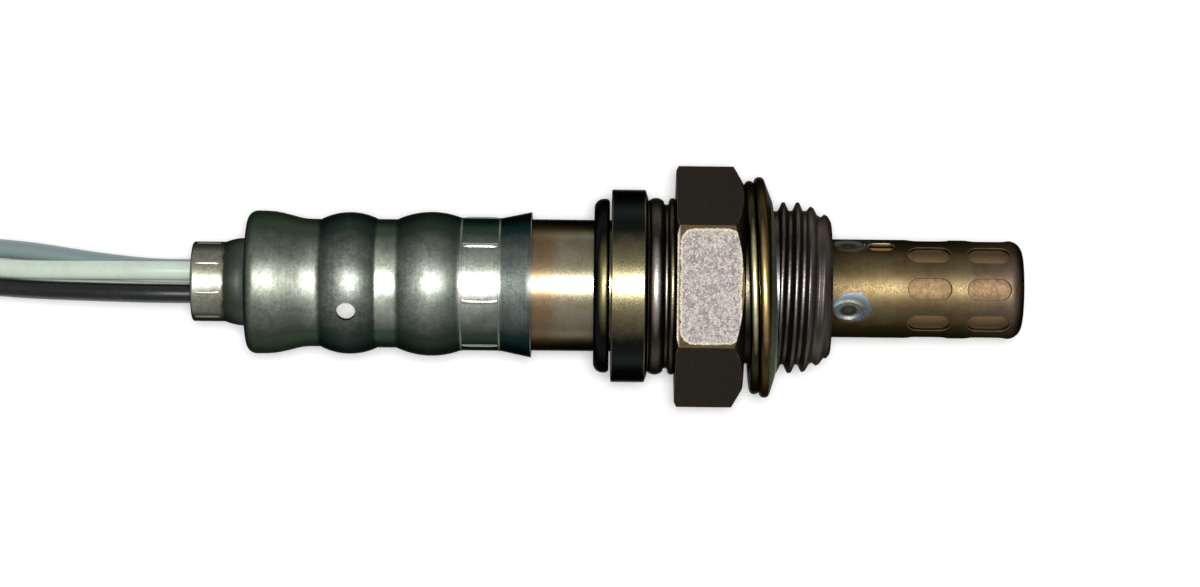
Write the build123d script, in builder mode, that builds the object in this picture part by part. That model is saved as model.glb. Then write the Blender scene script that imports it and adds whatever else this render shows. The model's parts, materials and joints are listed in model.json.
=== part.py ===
from build123d import *
import os
from math import cos, pi, radians, sin, sqrt, tan

# A heated oxygen sensor for an exhaust pipe, with an M18 x 1.5 thread, its lead and its connector.
# All sizes are in millimetres. The sensor's axis is X and points to the tip. The origin is on the
# axis where the thread starts, and the lower flat of the hexagon lies on the ground.

# Fits
fit = 0.03                      # gap all round where one piece slides into or over another

# Housing, from the thread back
thread_radius = 9.0
thread_length = 5.58
full_thread = 2.3               # the rest of the thread tapers into the nose
nose_radius = 7.55              # where the taper ends
nose_face_radius = 7.0
nose_chamfer = 0.3
relief_radius = 8.05
relief_length = 3.58
across_flats = 22.0
hex_width = 7.11
hex_front_chamfer = 1.1
hex_face_radius = 10.8
hex_rear_chamfer = 0.25
buckle_length = 2.91            # the thin wall that was pressed short to close the stack
bead_radius = 9.3
groove_radius = 8.6
collar_radius = 10.13
collar_width = 3.83
collar_chamfer = 0.28
collar_chamfer_depth = 0.9
rear_lip = 0.8                  # the rolled edge over the rear tube's flange
element_bore = 4.2
chamber_radius = 6.2
seat_depth = 1.72               # from the hexagon's front face back to the seal washer's seat

# Stop ring
ring_gap = 0.2
ring_width = 1.63
ring_radius = 9.15
ring_front_round = 0.4
ring_rear_round = 1.0

# Rear tube
tube_radius = 6.92
tube_wall = 0.5
tube_show = 6.53                # bare stretch between the stop ring and the vent sleeve
flange_radius = 8.15
shoulder_start = 1.8            # inside the sleeve's rear end
shoulder_radius = 4.62
shoulder_length = 2.3
crimp_radius = 4.19
crimp_length = 3.44
crimp_jaws = 8
crimp_turn = 17.0
ridge_width = 0.3
ridge_height = 0.12
rolled_edge = 0.3

# Vent sleeve, from its front lip back
sleeve_wall = 0.5
lip_radius = 7.66
flare_length = 3.32
band_radius = 6.97
band_length = 4.0
band_jaws = 7
band_turn = 15.5
bulge_3_radius = 7.57
bulge_3_length = 6.84
neck_2_radius = 6.77
neck_2_length = 2.0
bulge_2_radius = 7.46
bulge_2_length = 6.0
neck_1_radius = 6.71
bulge_1_radius = 7.53
bulge_1_length = 7.74
sleeve_corner = 1.1
bulge_1_crown = (0.316, 0.11)   # three points on the first bulge's long fall to its neck, each
bulge_1_fall = (0.512, 0.4)     # a share of the way there and a drop, or a rise at the foot
bulge_1_foot = (0.708, 0.1)
vent_radius = 1.0
vent_count = 3
vent_turn = 24.0

# Filter under the vents
filter_wall = 0.4
filter_overlap = 1.0            # how far it reaches under the neck behind it
filter_front_gap = 0.25
filter_gap = 0.14

# Tip covers
cover_wall = 0.4
cover_radius = 5.16
cover_length = 20.36            # from the housing's nose to the end of the tip
cover_corner = 1.5
cover_dome = 0.2
cover_flange_radius = 6.2
nose_rim = 0.68                 # the housing's edge that is rolled over the covers' flanges
slot_length = 4.46
slot_width = 2.23
slot_count = 8
slot_row_1 = 10.22              # from the nose
slot_row_2 = 16.42
dimple_place = 2.27
dimple_turn = 21.5
dimple_count = 4
dimple_length = 2.5
dimple_width = 1.4
dimple_depth = 0.2
port_place = 5.22
port_turn = -59.0
port_length = 2.7
port_width = 1.4
inner_cover_radius = 4.3
inner_cover_end_gap = 0.7
inner_hole_radius = 0.7
inner_hole_count = 6

# Sensing element, heater and the sealing stack
element_radius = 3.3
element_tip_radius = 2.7
element_tip_gap = 4.2           # from its tip to the inside of the inner cover's end
element_bore_radius = 1.75
element_flange_radius = 5.9
element_flange_width = 2.5
element_overhang = 5.87         # how far it stands out behind the rear tube's flange
washer_width = 0.4
talc_width = 3.1
spacer_chamfer = 0.4
caulk_section = 0.4
heater_radius = 1.45
heater_front_gap = 0.3
heater_chamfer = 0.6

# Terminal holder, its spring and the grommet
holder_front_gap = 2.68         # from the crimp band's rear edge to the holder
holder_length = 15.5
holder_radius = 4.6
holder_flange_width = 3.0
holder_cup_depth = 7.0
holder_cup_radius = 3.9
heater_in_cup = 6.0
spring_sheet = 0.3
spring_length = 5.0
spring_place = 1.5
spring_wave_count = 6
spring_wave_width = 1.6
grommet_recess = 0.3
wire_ring = 1.7                 # radius of the circle that the four wires stand on
wire_turn = -38.0               # the first wire's place, from straight up towards -Y

# Contacts
contact_sheet = 0.25
contact_width = 1.2
barrel_radius = 0.68
barrel_in_grommet = 0.5
barrel_before_cup = 0.5
clip_length = 4.5
contact_reach = 5.0

# Gasket, one folded strip of sheet
gasket_radius = 11.6
gasket_bore = 8.75
gasket_sheet = 0.45
gasket_thickness = 2.85
gasket_layer_gap = 0.1
gasket_fold = 0.25
gasket_dish = 0.85              # how far the front layer slopes back to its outer fold
gasket_rear_step = 0.37
gasket_inner_step = 0.43
gasket_tilt = 2.0
gasket_rest_gap = 0.03          # at the hexagon, where the tilted gasket leans on it
gasket_hang = 0.858             # how far up it has slid, as a share of its play on the relief

# Lead
wire_radius = 1.0
loom_radius = 2.8
wire_straight_end = -68.0       # each wire runs straight out of the grommet to here
white_wire_1_points = [(-84.0, 1.01, -1.9), (-93.1, 2.16, -3.7)]
black_wire_points = [(-84.0, -0.92, -2.65), (-93.3, 0.39, -4.76)]
white_wire_2_points = [(-84.0, 0.22, -4.4), (-92.85, 1.44, -6.5)]
grey_wire_points = [(-84.0, 3.79, -3.2), (-92.5, 3.2, -5.46)]

# Cable tie
tie_place = -111.5
tie_width = 2.4
tie_thickness = 0.8
tie_gap = 0.2
tie_head_width = 3.6
tie_head_length = 4.4
tie_head_height = 2.6

# Connector
boot_length = 14.0
boot_rear_radius = 3.9
boot_depth = 7.0
boot_width = 16.0
boot_height = 9.0
plug_width = 22.0
plug_height = 12.5
plug_length = 24.0
plug_corner = 1.6
plug_rib_count = 4
plug_rib_pitch = 2.4
plug_rib_width = 1.1
plug_rib_height = 0.5
nose_width = 18.4
nose_height = 8.6
nose_length = 11.0
nose_corner = 1.0
cavity_pitch = 4.2
cavity_size = 2.3
cavity_depth = 12.0
terminal_length = 10.0
terminal_recess = 0.5
terminal_mouth = 1.5
terminal_mouth_depth = 6.0
seal_length = 3.2
seal_base = 0.5
seal_rib = 0.5
seal_rib_width = 0.8
retainer_thickness = 1.2
retainer_window = 1.6
retainer_inset = 0.5
latch_width = 6.4
latch_thickness = 1.6
latch_gap = 1.3
latch_rear_gap = 3.0
latch_hook = 1.1
latch_foot = 3.0
rail_thickness = 1.4
rail_gap = 0.6
rail_length = 19.0

# Places along the axis
ground = -across_flats / 2
hex_front = -relief_length
hex_rear = hex_front - hex_width
collar_front = hex_rear - buckle_length
collar_rear = collar_front - collar_width
ring_front = collar_rear - ring_gap
ring_rear = ring_front - ring_width
sleeve_front = ring_rear - tube_show
band_front = sleeve_front - flare_length
band_rear = band_front - band_length
bulge_3_rear = band_rear - bulge_3_length
neck_2_rear = bulge_3_rear - neck_2_length
bulge_2_rear = neck_2_rear - bulge_2_length
sleeve_rear = bulge_2_rear - bulge_1_length
crimp_front = sleeve_rear - shoulder_length
crimp_rear = crimp_front - crimp_length
flange_rear = collar_rear + rear_lip
flange_front = flange_rear + tube_wall
seat_x = hex_front - seat_depth
washer_rear = seat_x - washer_width
element_flange_rear = washer_rear - element_flange_width
talc_rear = element_flange_rear - talc_width
spacer_rear = flange_front + 2 * caulk_section
element_end = flange_front - element_overhang
cover_seat = thread_length - nose_rim - 2 * cover_wall
cover_end = thread_length + cover_length
inner_cover_end = cover_end - cover_wall - inner_cover_end_gap
element_tip = inner_cover_end - cover_wall - element_tip_gap
element_bore_end = element_tip - element_bore_radius
holder_front = band_rear - holder_front_gap
holder_rear = holder_front - holder_length
cup_rear = holder_front - holder_cup_depth
heater_rear = holder_front - heater_in_cup
heater_front = element_bore_end - heater_front_gap

cone_front = sleeve_rear + shoulder_start
shoulder_x = sleeve_rear - 0.15 * shoulder_length
flare_x = crimp_front + 0.35 * shoulder_length
step_1_front = sleeve_front - 0.12 * flare_length
step_1_rear = sleeve_front - 0.48 * flare_length
step_2_front = band_rear - 0.4 * sleeve_wall
step_2_rear = step_2_front - 2 * tube_wall
vent_x = (bulge_2_rear + neck_2_rear) / 2
filter_rear = bulge_2_rear - filter_overlap
filter_front = bulge_3_rear - filter_front_gap
swell_rear = bulge_2_rear + 0.08 * bulge_2_length
swell_front = neck_2_rear - 0.05 * bulge_2_length
tip_corner_x = cover_end - cover_dome - cover_corner
outer_flange_rear = cover_seat + cover_wall
inner_hole_rear = thread_length + (port_place + slot_row_1) / 2 - 0.5 * inner_hole_radius
inner_hole_front = thread_length + (slot_row_1 + slot_row_2) / 2
barrel_rear = holder_rear - barrel_in_grommet
barrel_front = cup_rear - barrel_before_cup
strip_rear = barrel_front - barrel_before_cup
groove_x = hex_rear - 0.35 * buckle_length
bead_1_x = collar_front + 0.32 * buckle_length
groove_rear = collar_front + 0.56 * buckle_length
groove_front = collar_front + 0.74 * buckle_length
bead_2_x = hex_rear - 0.12 * buckle_length

# Radii that follow from the pieces around them
tube_band_radius = band_radius - sleeve_wall - fit
filter_radius = neck_1_radius - sleeve_wall - fit
tube_small_radius = filter_radius - filter_wall - fit
holder_flange_radius = tube_small_radius - tube_wall - 2 * fit
hex_corner_radius = across_flats / sqrt(3)
bead_start_radius = (bead_radius + groove_radius) / 2
filter_swell = bulge_2_radius - sleeve_wall - filter_gap
inner_corner = cover_corner - cover_wall
shoulder_flare = 0.62 * (shoulder_radius - crimp_radius)
caulk_ring_radius = chamber_radius - fit - caulk_section
sleeve_mouth = tube_small_radius - (tube_small_radius - shoulder_radius) * (
    (cone_front - sleeve_rear - sleeve_wall) / (cone_front - shoulder_x)) + 4 * fit
wire_turns = [wire_turn + 90 * index for index in range(4)]
wire_places = [(-wire_ring * sin(radians(turn)), wire_ring * cos(radians(turn)))
               for turn in wire_turns]
strip_radius = heater_radius + fit

# The loom's route, from its mouth round one flat loop to the connector inside it
lay = ground + loom_radius
plug_y = -18.0
plug_z = ground + plug_height / 2
loom_points = [(-93.2, 1.8, -5.1), (-104.0, 3.9, -6.6), (-118.0, 5.6, -7.6), (-142.0, 5.0, lay),
               (-172.0, 5.9, lay), (-205.0, 5.4, lay), (-217.8, -7.4, lay), (-217.8, -25.4, lay),
               (-205.0, -38.2, lay), (-176.0, -38.9, lay), (-150.0, -37.7, lay),
               (-128.0, -38.6, lay), (-104.2, -38.2, lay), (-93.2, -27.2, lay),
               (-93.2, -11.6, lay), (-104.2, -0.7, -7.4), (-120.0, -0.4, -6.9),
               (-134.5, -11.3, -6.6), (-149.5, plug_y, plug_z), (-163.0, plug_y, plug_z)]
boot_rear = loom_points[-1][0] + boot_depth
plug_rear = boot_rear - boot_length
plug_front = plug_rear - plug_length
nose_end = plug_front - nose_length
plug_top = plug_z + plug_height / 2


# Helpers
def radial_plane(x, turn, radius):
    # A plane that faces away from the axis, turned from straight up towards -Y.
    away = Vector(0, -sin(radians(turn)), cos(radians(turn)))
    return Plane(origin=Vector(x, 0, 0) + away * radius, x_dir=(1, 0, 0), z_dir=away)


def turns(count, first):
    return [first + 360 / count * index for index in range(count)]


def draw_tube_end(start, inset, stop):
    # The outside of the rear tube from the filter to the end of its crimped neck, moved in.
    small = tube_small_radius - inset
    shoulder = shoulder_radius - inset
    crimp = crimp_radius - inset
    Polyline((start, small), (cone_front, small), (shoulder_x, shoulder))
    ThreePointArc((shoulder_x, shoulder), (flare_x, crimp + shoulder_flare), (crimp_front, crimp))
    Line((crimp_front, crimp), (stop, crimp))


def draw_sleeve(inset):
    # The outside of the vent sleeve from the corner of its rear end to its front lip, moved in.
    top = bulge_1_radius - inset
    neck = neck_1_radius - inset
    corner_x = sleeve_rear + sleeve_corner
    rear_x = sleeve_rear + inset
    corner_mid = (sleeve_corner - inset) * (1 - sqrt(0.5))
    ThreePointArc((rear_x, bulge_1_radius - sleeve_corner), (rear_x + corner_mid, top - corner_mid),
                  (corner_x, top))
    fall = bulge_2_rear - corner_x
    Spline((corner_x, top), (corner_x + bulge_1_crown[0] * fall, top - bulge_1_crown[1]),
           (corner_x + bulge_1_fall[0] * fall, top - bulge_1_fall[1]),
           (corner_x + bulge_1_foot[0] * fall, neck + bulge_1_foot[1]), (bulge_2_rear, neck),
           tangents=((1, 0), (1, 0)))
    ThreePointArc((bulge_2_rear, neck), (vent_x, bulge_2_radius - inset),
                  (neck_2_rear, neck_2_radius - inset))
    Line((neck_2_rear, neck_2_radius - inset), (bulge_3_rear, neck_2_radius - inset))
    ThreePointArc((bulge_3_rear, neck_2_radius - inset),
                  ((bulge_3_rear + band_rear) / 2, bulge_3_radius - inset),
                  (band_rear, band_radius - inset))
    Polyline((band_rear, band_radius - inset), (band_front, band_radius - inset),
             (sleeve_front, lip_radius - inset))


def plug_plane(x):
    # A plane across the connector that faces away from the sensor.
    return Plane(origin=(x, plug_y, plug_z), x_dir=(0, -1, 0), z_dir=(-1, 0, 0))


def place_on_run(start, end, x):
    # Where a straight run of the loom passes a plane across X, as (y, z).
    share = (x - start[0]) / (end[0] - start[0])
    return tuple(a + (b - a) * share for a, b in zip(start[1:], end[1:]))


def corner_radii(points):
    # The largest arc that each corner's two runs leave room for.
    radii = []
    for before, corner, after in zip(points, points[1:], points[2:]):
        run_in = Vector(*corner) - Vector(*before)
        run_out = Vector(*after) - Vector(*corner)
        half_turn = radians(run_in.get_angle(run_out)) / 2
        radii.append(0.45 * min(run_in.length, run_out.length) / tan(half_turn))
    return radii


pieces = {}

# Housing: the hexagon, the turned body and the stepped bore
with BuildPart() as housing:
    with BuildSketch(Plane.YZ.offset(hex_rear)):
        RegularPolygon(radius=across_flats / 2, side_count=6, major_radius=False)
    extrude(amount=hex_width)
    with BuildSketch():
        with BuildLine():
            Polyline((hex_rear, 0), (hex_rear, hex_corner_radius - 2 * hex_rear_chamfer),
                     (hex_rear + hex_rear_chamfer, hex_corner_radius),
                     (hex_front - hex_front_chamfer, hex_corner_radius),
                     (hex_front, hex_face_radius), (hex_front, 0), close=True)
        make_face()
    revolve(axis=Axis.X, mode=Mode.INTERSECT)
    with BuildSketch():
        with BuildLine():
            Polyline((collar_rear, 0), (collar_rear, collar_radius),
                     (collar_front - collar_chamfer, collar_radius),
                     (collar_front, collar_radius - collar_chamfer_depth),
                     (collar_front, bead_start_radius))
            ThreePointArc((collar_front, bead_start_radius), (bead_1_x, bead_radius),
                          (groove_rear, bead_start_radius))
            ThreePointArc((groove_rear, bead_start_radius), (groove_x, groove_radius),
                          (groove_front, bead_start_radius))
            ThreePointArc((groove_front, bead_start_radius), (bead_2_x, bead_radius),
                          (hex_rear, bead_start_radius))
            Polyline((hex_rear, bead_start_radius), (hex_front, bead_start_radius),
                     (hex_front, relief_radius), (0, relief_radius), (0, thread_radius),
                     (full_thread, thread_radius), (thread_length - nose_chamfer, nose_radius),
                     (thread_length, nose_face_radius), (thread_length, 0), (collar_rear, 0))
        make_face()
    revolve(axis=Axis.X)
    with BuildSketch():
        with BuildLine():
            Polyline((thread_length, 0), (thread_length, cover_radius + fit),
                     (thread_length - nose_rim, cover_radius + fit),
                     (thread_length - nose_rim, cover_flange_radius + fit),
                     (cover_seat, cover_flange_radius + fit), (cover_seat, element_bore),
                     (seat_x, element_bore), (seat_x, chamber_radius), (flange_front, chamber_radius),
                     (flange_front, flange_radius + fit), (flange_rear, flange_radius + fit),
                     (flange_rear, tube_radius + fit), (collar_rear, tube_radius + fit),
                     (collar_rear, 0), close=True)
        make_face()
    revolve(axis=Axis.X, mode=Mode.SUBTRACT)
pieces["housing"] = housing

# Stop ring, a rounded disc on the tube behind the housing
with BuildPart() as stop_ring:
    with BuildSketch(Plane.YZ.offset(ring_rear)):
        Circle(ring_radius)
        Circle(tube_radius + fit, mode=Mode.SUBTRACT)
    extrude(amount=ring_width)
    rims = stop_ring.edges().filter_by(GeomType.CIRCLE).group_by(SortBy.RADIUS)[-1].sort_by(Axis.X)
    fillet(rims[0], ring_rear_round)
    fillet(rims[-1], ring_front_round)
pieces["stop_ring"] = stop_ring

# Rear tube: flange, two steps under the sleeve, shoulder and crimped neck
with BuildPart() as rear_tube:
    with BuildSketch():
        with BuildLine():
            Polyline((flange_front, 0), (flange_front, flange_radius), (flange_rear, flange_radius),
                     (flange_rear, tube_radius), (step_1_front, tube_radius),
                     (step_1_rear, tube_band_radius), (step_2_front, tube_band_radius),
                     (step_2_rear, tube_small_radius))
            draw_tube_end(step_2_rear, 0, crimp_rear + rolled_edge)
            RadiusArc((crimp_rear + rolled_edge, crimp_radius),
                      (crimp_rear, crimp_radius - rolled_edge), -rolled_edge)
            Polyline((crimp_rear, crimp_radius - rolled_edge), (crimp_rear, 0), (flange_front, 0))
        make_face()
    revolve(axis=Axis.X)
    crimp_planes = [radial_plane((crimp_front + crimp_rear) / 2, turn, crimp_radius - ridge_width)
                    for turn in turns(crimp_jaws, crimp_turn)]
    with BuildSketch(*crimp_planes):
        Rectangle(crimp_length - 2 * rolled_edge, ridge_width)
    extrude(amount=ridge_width + ridge_height)
    with BuildSketch():
        with BuildLine():
            Polyline((flange_front, 0), (flange_front, tube_radius - tube_wall),
                     (step_1_front, tube_radius - tube_wall),
                     (step_1_rear, tube_band_radius - tube_wall),
                     (step_2_front, tube_band_radius - tube_wall),
                     (step_2_rear, tube_small_radius - tube_wall))
            draw_tube_end(step_2_rear, tube_wall, crimp_rear)
            Polyline((crimp_rear, crimp_radius - tube_wall), (crimp_rear, 0), (flange_front, 0))
        make_face()
    revolve(axis=Axis.X, mode=Mode.SUBTRACT)
pieces["rear_tube"] = rear_tube

# Vent sleeve: three bulges, two necks, the jaw-crimped band, the flared lip and the vents
with BuildPart() as vent_sleeve:
    with BuildSketch():
        with BuildLine():
            Polyline((sleeve_front, lip_radius), (sleeve_front, 0), (sleeve_rear, 0),
                     (sleeve_rear, bulge_1_radius - sleeve_corner))
            draw_sleeve(0)
        make_face()
    revolve(axis=Axis.X)
    band_planes = [radial_plane((band_front + band_rear) / 2, turn, band_radius - ridge_width)
                   for turn in turns(band_jaws, band_turn)]
    with BuildSketch(*band_planes):
        Rectangle(band_length, ridge_width)
    extrude(amount=ridge_width + ridge_height)
    with BuildSketch():
        with BuildLine():
            Polyline((sleeve_front, lip_radius - sleeve_wall), (sleeve_front, 0),
                     (sleeve_rear, 0), (sleeve_rear, sleeve_mouth),
                     (sleeve_rear + sleeve_wall, sleeve_mouth),
                     (sleeve_rear + sleeve_wall, bulge_1_radius - sleeve_corner))
            draw_sleeve(sleeve_wall)
        make_face()
    revolve(axis=Axis.X, mode=Mode.SUBTRACT)
    vent_planes = [radial_plane(vent_x, turn, bulge_2_radius - 2 * sleeve_wall)
                   for turn in turns(vent_count, vent_turn)]
    with BuildSketch(*vent_planes):
        Circle(vent_radius)
    extrude(amount=3 * sleeve_wall, mode=Mode.SUBTRACT)
pieces["vent_sleeve"] = vent_sleeve

# Vent filter, squeezed at both necks and swelling under the vents
with BuildPart() as vent_filter:
    with BuildSketch():
        with BuildLine():
            Polyline((swell_rear, filter_radius), (filter_rear, filter_radius),
                     (filter_rear, tube_small_radius + fit), (filter_front, tube_small_radius + fit),
                     (filter_front, filter_radius), (swell_front, filter_radius))
            ThreePointArc((swell_front, filter_radius), (vent_x, filter_swell),
                          (swell_rear, filter_radius))
        make_face()
    revolve(axis=Axis.X)
pieces["vent_filter"] = vent_filter

# Outer tip cover with its slots, weld dimples and ports
with BuildPart() as outer_tip_cover:
    with BuildSketch():
        with BuildLine():
            inside = cover_radius - cover_wall
            Polyline((cover_end, 0), (cover_end - cover_wall, 0),
                     (cover_end - cover_wall - cover_dome, cover_radius - cover_corner))
            ThreePointArc((cover_end - cover_wall - cover_dome, cover_radius - cover_corner),
                          (tip_corner_x + inner_corner * sqrt(0.5),
                           cover_radius - cover_corner + inner_corner * sqrt(0.5)),
                          (tip_corner_x, inside))
            Polyline((tip_corner_x, inside), (outer_flange_rear, inside),
                     (outer_flange_rear, cover_flange_radius),
                     (outer_flange_rear + cover_wall, cover_flange_radius),
                     (outer_flange_rear + cover_wall, cover_radius), (tip_corner_x, cover_radius))
            ThreePointArc((tip_corner_x, cover_radius),
                          (tip_corner_x + cover_corner * sqrt(0.5),
                           cover_radius - cover_corner * (1 - sqrt(0.5))),
                          (cover_end - cover_dome, cover_radius - cover_corner))
            Line((cover_end - cover_dome, cover_radius - cover_corner), (cover_end, 0))
        make_face()
    revolve(axis=Axis.X)
    slot_planes = [radial_plane(thread_length + row, turn, cover_radius - 2 * cover_wall)
                   for row in (slot_row_1, slot_row_2) for turn in turns(slot_count, 0)]
    with BuildSketch(*slot_planes):
        SlotOverall(slot_length, slot_width)
    extrude(amount=3 * cover_wall, mode=Mode.SUBTRACT)
    port_planes = [radial_plane(thread_length + port_place, turn, cover_radius - 2 * cover_wall)
                   for turn in turns(2, port_turn)]
    with BuildSketch(*port_planes):
        SlotOverall(port_length, port_width)
    extrude(amount=3 * cover_wall, mode=Mode.SUBTRACT)
    dimple_planes = [radial_plane(thread_length + dimple_place, turn, cover_radius - dimple_depth)
                     for turn in turns(dimple_count, dimple_turn)]
    with BuildSketch(*dimple_planes):
        Ellipse(dimple_length / 2, dimple_width / 2)
    extrude(amount=cover_wall, mode=Mode.SUBTRACT)
pieces["outer_tip_cover"] = outer_tip_cover

# Inner tip cover, with holes that lie between the outer cover's slots
with BuildPart() as inner_tip_cover:
    with BuildSketch():
        with BuildLine():
            inner_inside = inner_cover_radius - cover_wall
            Polyline((inner_cover_end, 0), (inner_cover_end - cover_wall, 0),
                     (inner_cover_end - cover_wall, inner_inside), (cover_seat, inner_inside),
                     (cover_seat, cover_flange_radius), (outer_flange_rear, cover_flange_radius),
                     (outer_flange_rear, inner_cover_radius), (inner_cover_end, inner_cover_radius),
                     close=True)
        make_face()
    revolve(axis=Axis.X)
    rim = inner_tip_cover.edges().filter_by(GeomType.CIRCLE).group_by(Axis.X)[-1]
    fillet(rim, cover_wall)
    hole_planes = [radial_plane(x, turn, inner_inside - cover_wall)
                   for x in (inner_hole_front, inner_hole_rear)
                   for turn in turns(inner_hole_count, 180 / inner_hole_count)]
    with BuildSketch(*hole_planes):
        Circle(inner_hole_radius)
    extrude(amount=3 * cover_wall, mode=Mode.SUBTRACT)
pieces["inner_tip_cover"] = inner_tip_cover

# Sensing element: a thimble with a flange, closed at the tip
with BuildPart() as sensing_element:
    with BuildSketch():
        with BuildLine():
            tip_centre = element_tip - element_tip_radius
            bore_centre = element_bore_end - element_bore_radius
            ThreePointArc((element_tip, 0),
                          (tip_centre + element_tip_radius * sqrt(0.5),
                           element_tip_radius * sqrt(0.5)), (tip_centre, element_tip_radius))
            Polyline((tip_centre, element_tip_radius), (washer_rear, element_radius),
                     (washer_rear, element_flange_radius),
                     (element_flange_rear, element_flange_radius),
                     (element_flange_rear, element_radius), (element_end, element_radius),
                     (element_end, element_bore_radius), (bore_centre, element_bore_radius))
            ThreePointArc((bore_centre, element_bore_radius),
                          (bore_centre + element_bore_radius * sqrt(0.5),
                           element_bore_radius * sqrt(0.5)), (element_bore_end, 0))
            Line((element_bore_end, 0), (element_tip, 0))
        make_face()
    revolve(axis=Axis.X)
pieces["sensing_element"] = sensing_element

# Heater rod
with BuildPart() as heater_rod:
    with BuildSketch(Plane.YZ.offset(heater_rear)):
        Circle(heater_radius)
    extrude(amount=heater_front - heater_rear)
    chamfer(heater_rod.edges().sort_by(Axis.X)[-1], heater_chamfer)
pieces["heater_rod"] = heater_rod

# Seal washer, talc ring, spacer and caulk ring, stacked behind the seat
with BuildPart() as seal_washer:
    with BuildSketch(Plane.YZ.offset(washer_rear)):
        Circle(chamber_radius - fit)
        Circle(element_bore, mode=Mode.SUBTRACT)
    extrude(amount=washer_width)
pieces["seal_washer"] = seal_washer

with BuildPart() as talc_ring:
    with BuildSketch(Plane.YZ.offset(talc_rear)):
        Circle(chamber_radius - fit)
        Circle(element_radius + fit, mode=Mode.SUBTRACT)
    extrude(amount=talc_width)
pieces["talc_ring"] = talc_ring

with BuildPart() as spacer_ring:
    with BuildSketch(Plane.YZ.offset(spacer_rear)):
        Circle(chamber_radius - fit)
        Circle(element_radius + fit, mode=Mode.SUBTRACT)
    extrude(amount=talc_rear - spacer_rear)
    spacer_rim = spacer_ring.edges().group_by(Axis.X)[0].sort_by(SortBy.RADIUS)[-1]
    chamfer(spacer_rim, spacer_chamfer)
pieces["spacer_ring"] = spacer_ring

with BuildPart() as caulk_ring:
    with BuildSketch():
        with Locations((flange_front + caulk_section, caulk_ring_radius)):
            Circle(caulk_section)
    revolve(axis=Axis.X)
pieces["caulk_ring"] = caulk_ring

# Terminal holder: a ceramic plug with four bores and a cup for the heater's end
with BuildPart() as terminal_holder:
    with BuildSketch(Plane.YZ.offset(holder_rear)):
        Circle(holder_radius)
    extrude(amount=holder_length)
    with BuildSketch(Plane.YZ.offset(holder_rear)):
        Circle(holder_flange_radius)
    extrude(amount=holder_flange_width)
    with BuildSketch(Plane.YZ.offset(cup_rear)):
        Circle(holder_cup_radius)
    extrude(amount=holder_cup_depth, mode=Mode.SUBTRACT)
    with BuildSketch(Plane.YZ.offset(holder_rear)):
        with Locations(*wire_places):
            Circle(barrel_radius + 2 * fit)
    extrude(amount=holder_length - holder_cup_depth, mode=Mode.SUBTRACT)
pieces["terminal_holder"] = terminal_holder

# Holder spring, a waved band between the holder and the rear tube
with BuildPart() as holder_spring:
    spring_inside = holder_radius + fit
    wave_height = holder_flange_radius - spring_inside
    with BuildSketch(Plane.YZ.offset(holder_front - spring_place - spring_length)):
        Circle(spring_inside + spring_sheet)
        with PolarLocations(spring_inside + wave_height / 2, spring_wave_count):
            Rectangle(wave_height, spring_wave_width)
        Circle(holder_flange_radius, mode=Mode.INTERSECT)
        Circle(spring_inside, mode=Mode.SUBTRACT)
    extrude(amount=spring_length)
pieces["holder_spring"] = holder_spring

# Grommet, squeezed in the tube's neck, with four bores for the wires
with BuildPart() as grommet:
    with BuildSketch():
        with BuildLine():
            draw_tube_end(holder_rear, tube_wall + fit, crimp_rear + grommet_recess)
            Polyline((crimp_rear + grommet_recess, crimp_radius - tube_wall - fit),
                     (crimp_rear + grommet_recess, 0), (holder_rear, 0),
                     (holder_rear, tube_small_radius - tube_wall - fit))
        make_face()
    revolve(axis=Axis.X)
    with BuildSketch(Plane.YZ.offset(crimp_rear)):
        with Locations(*wire_places):
            Circle(wire_radius + fit)
    extrude(amount=holder_rear - crimp_rear, mode=Mode.SUBTRACT)
pieces["grommet"] = grommet

# Heater contacts: a crimp barrel on each white wire and a strip that presses on the heater
for index, name in ((0, "heater_contact_1"), (2, "heater_contact_2")):
    strip_front = heater_rear + contact_reach
    with BuildPart() as heater_contact:
        with BuildSketch(Plane.YZ.offset(barrel_rear)):
            with Locations(wire_places[index]):
                Circle(barrel_radius)
        extrude(amount=barrel_front - barrel_rear)
        with BuildSketch(radial_plane((strip_rear + strip_front) / 2, wire_turns[index],
                                      strip_radius)):
            Rectangle(strip_front - strip_rear, contact_width)
        extrude(amount=contact_sheet)
    pieces[name] = heater_contact

# Signal contact: its strip runs along the heater to a clip inside the element
with BuildPart() as signal_contact:
    clip_rear = element_end - clip_length / 3
    with BuildSketch(Plane.YZ.offset(barrel_rear)):
        with Locations(wire_places[1]):
            Circle(barrel_radius)
    extrude(amount=barrel_front - barrel_rear)
    signal_strip_end = element_end - 2 * fit
    with BuildSketch(radial_plane((strip_rear + signal_strip_end) / 2, wire_turns[1], strip_radius)):
        Rectangle(signal_strip_end - strip_rear, contact_width)
    extrude(amount=contact_sheet)
    with BuildSketch(Plane.YZ.offset(clip_rear)):
        Circle(element_bore_radius - fit)
        Circle(heater_radius + fit, mode=Mode.SUBTRACT)
        with PolarLocations(element_bore_radius, 1, start_angle=wire_turns[1] + 270):
            Rectangle(element_bore_radius, contact_width, mode=Mode.SUBTRACT)
    extrude(amount=clip_length)
pieces["signal_contact"] = signal_contact

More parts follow.
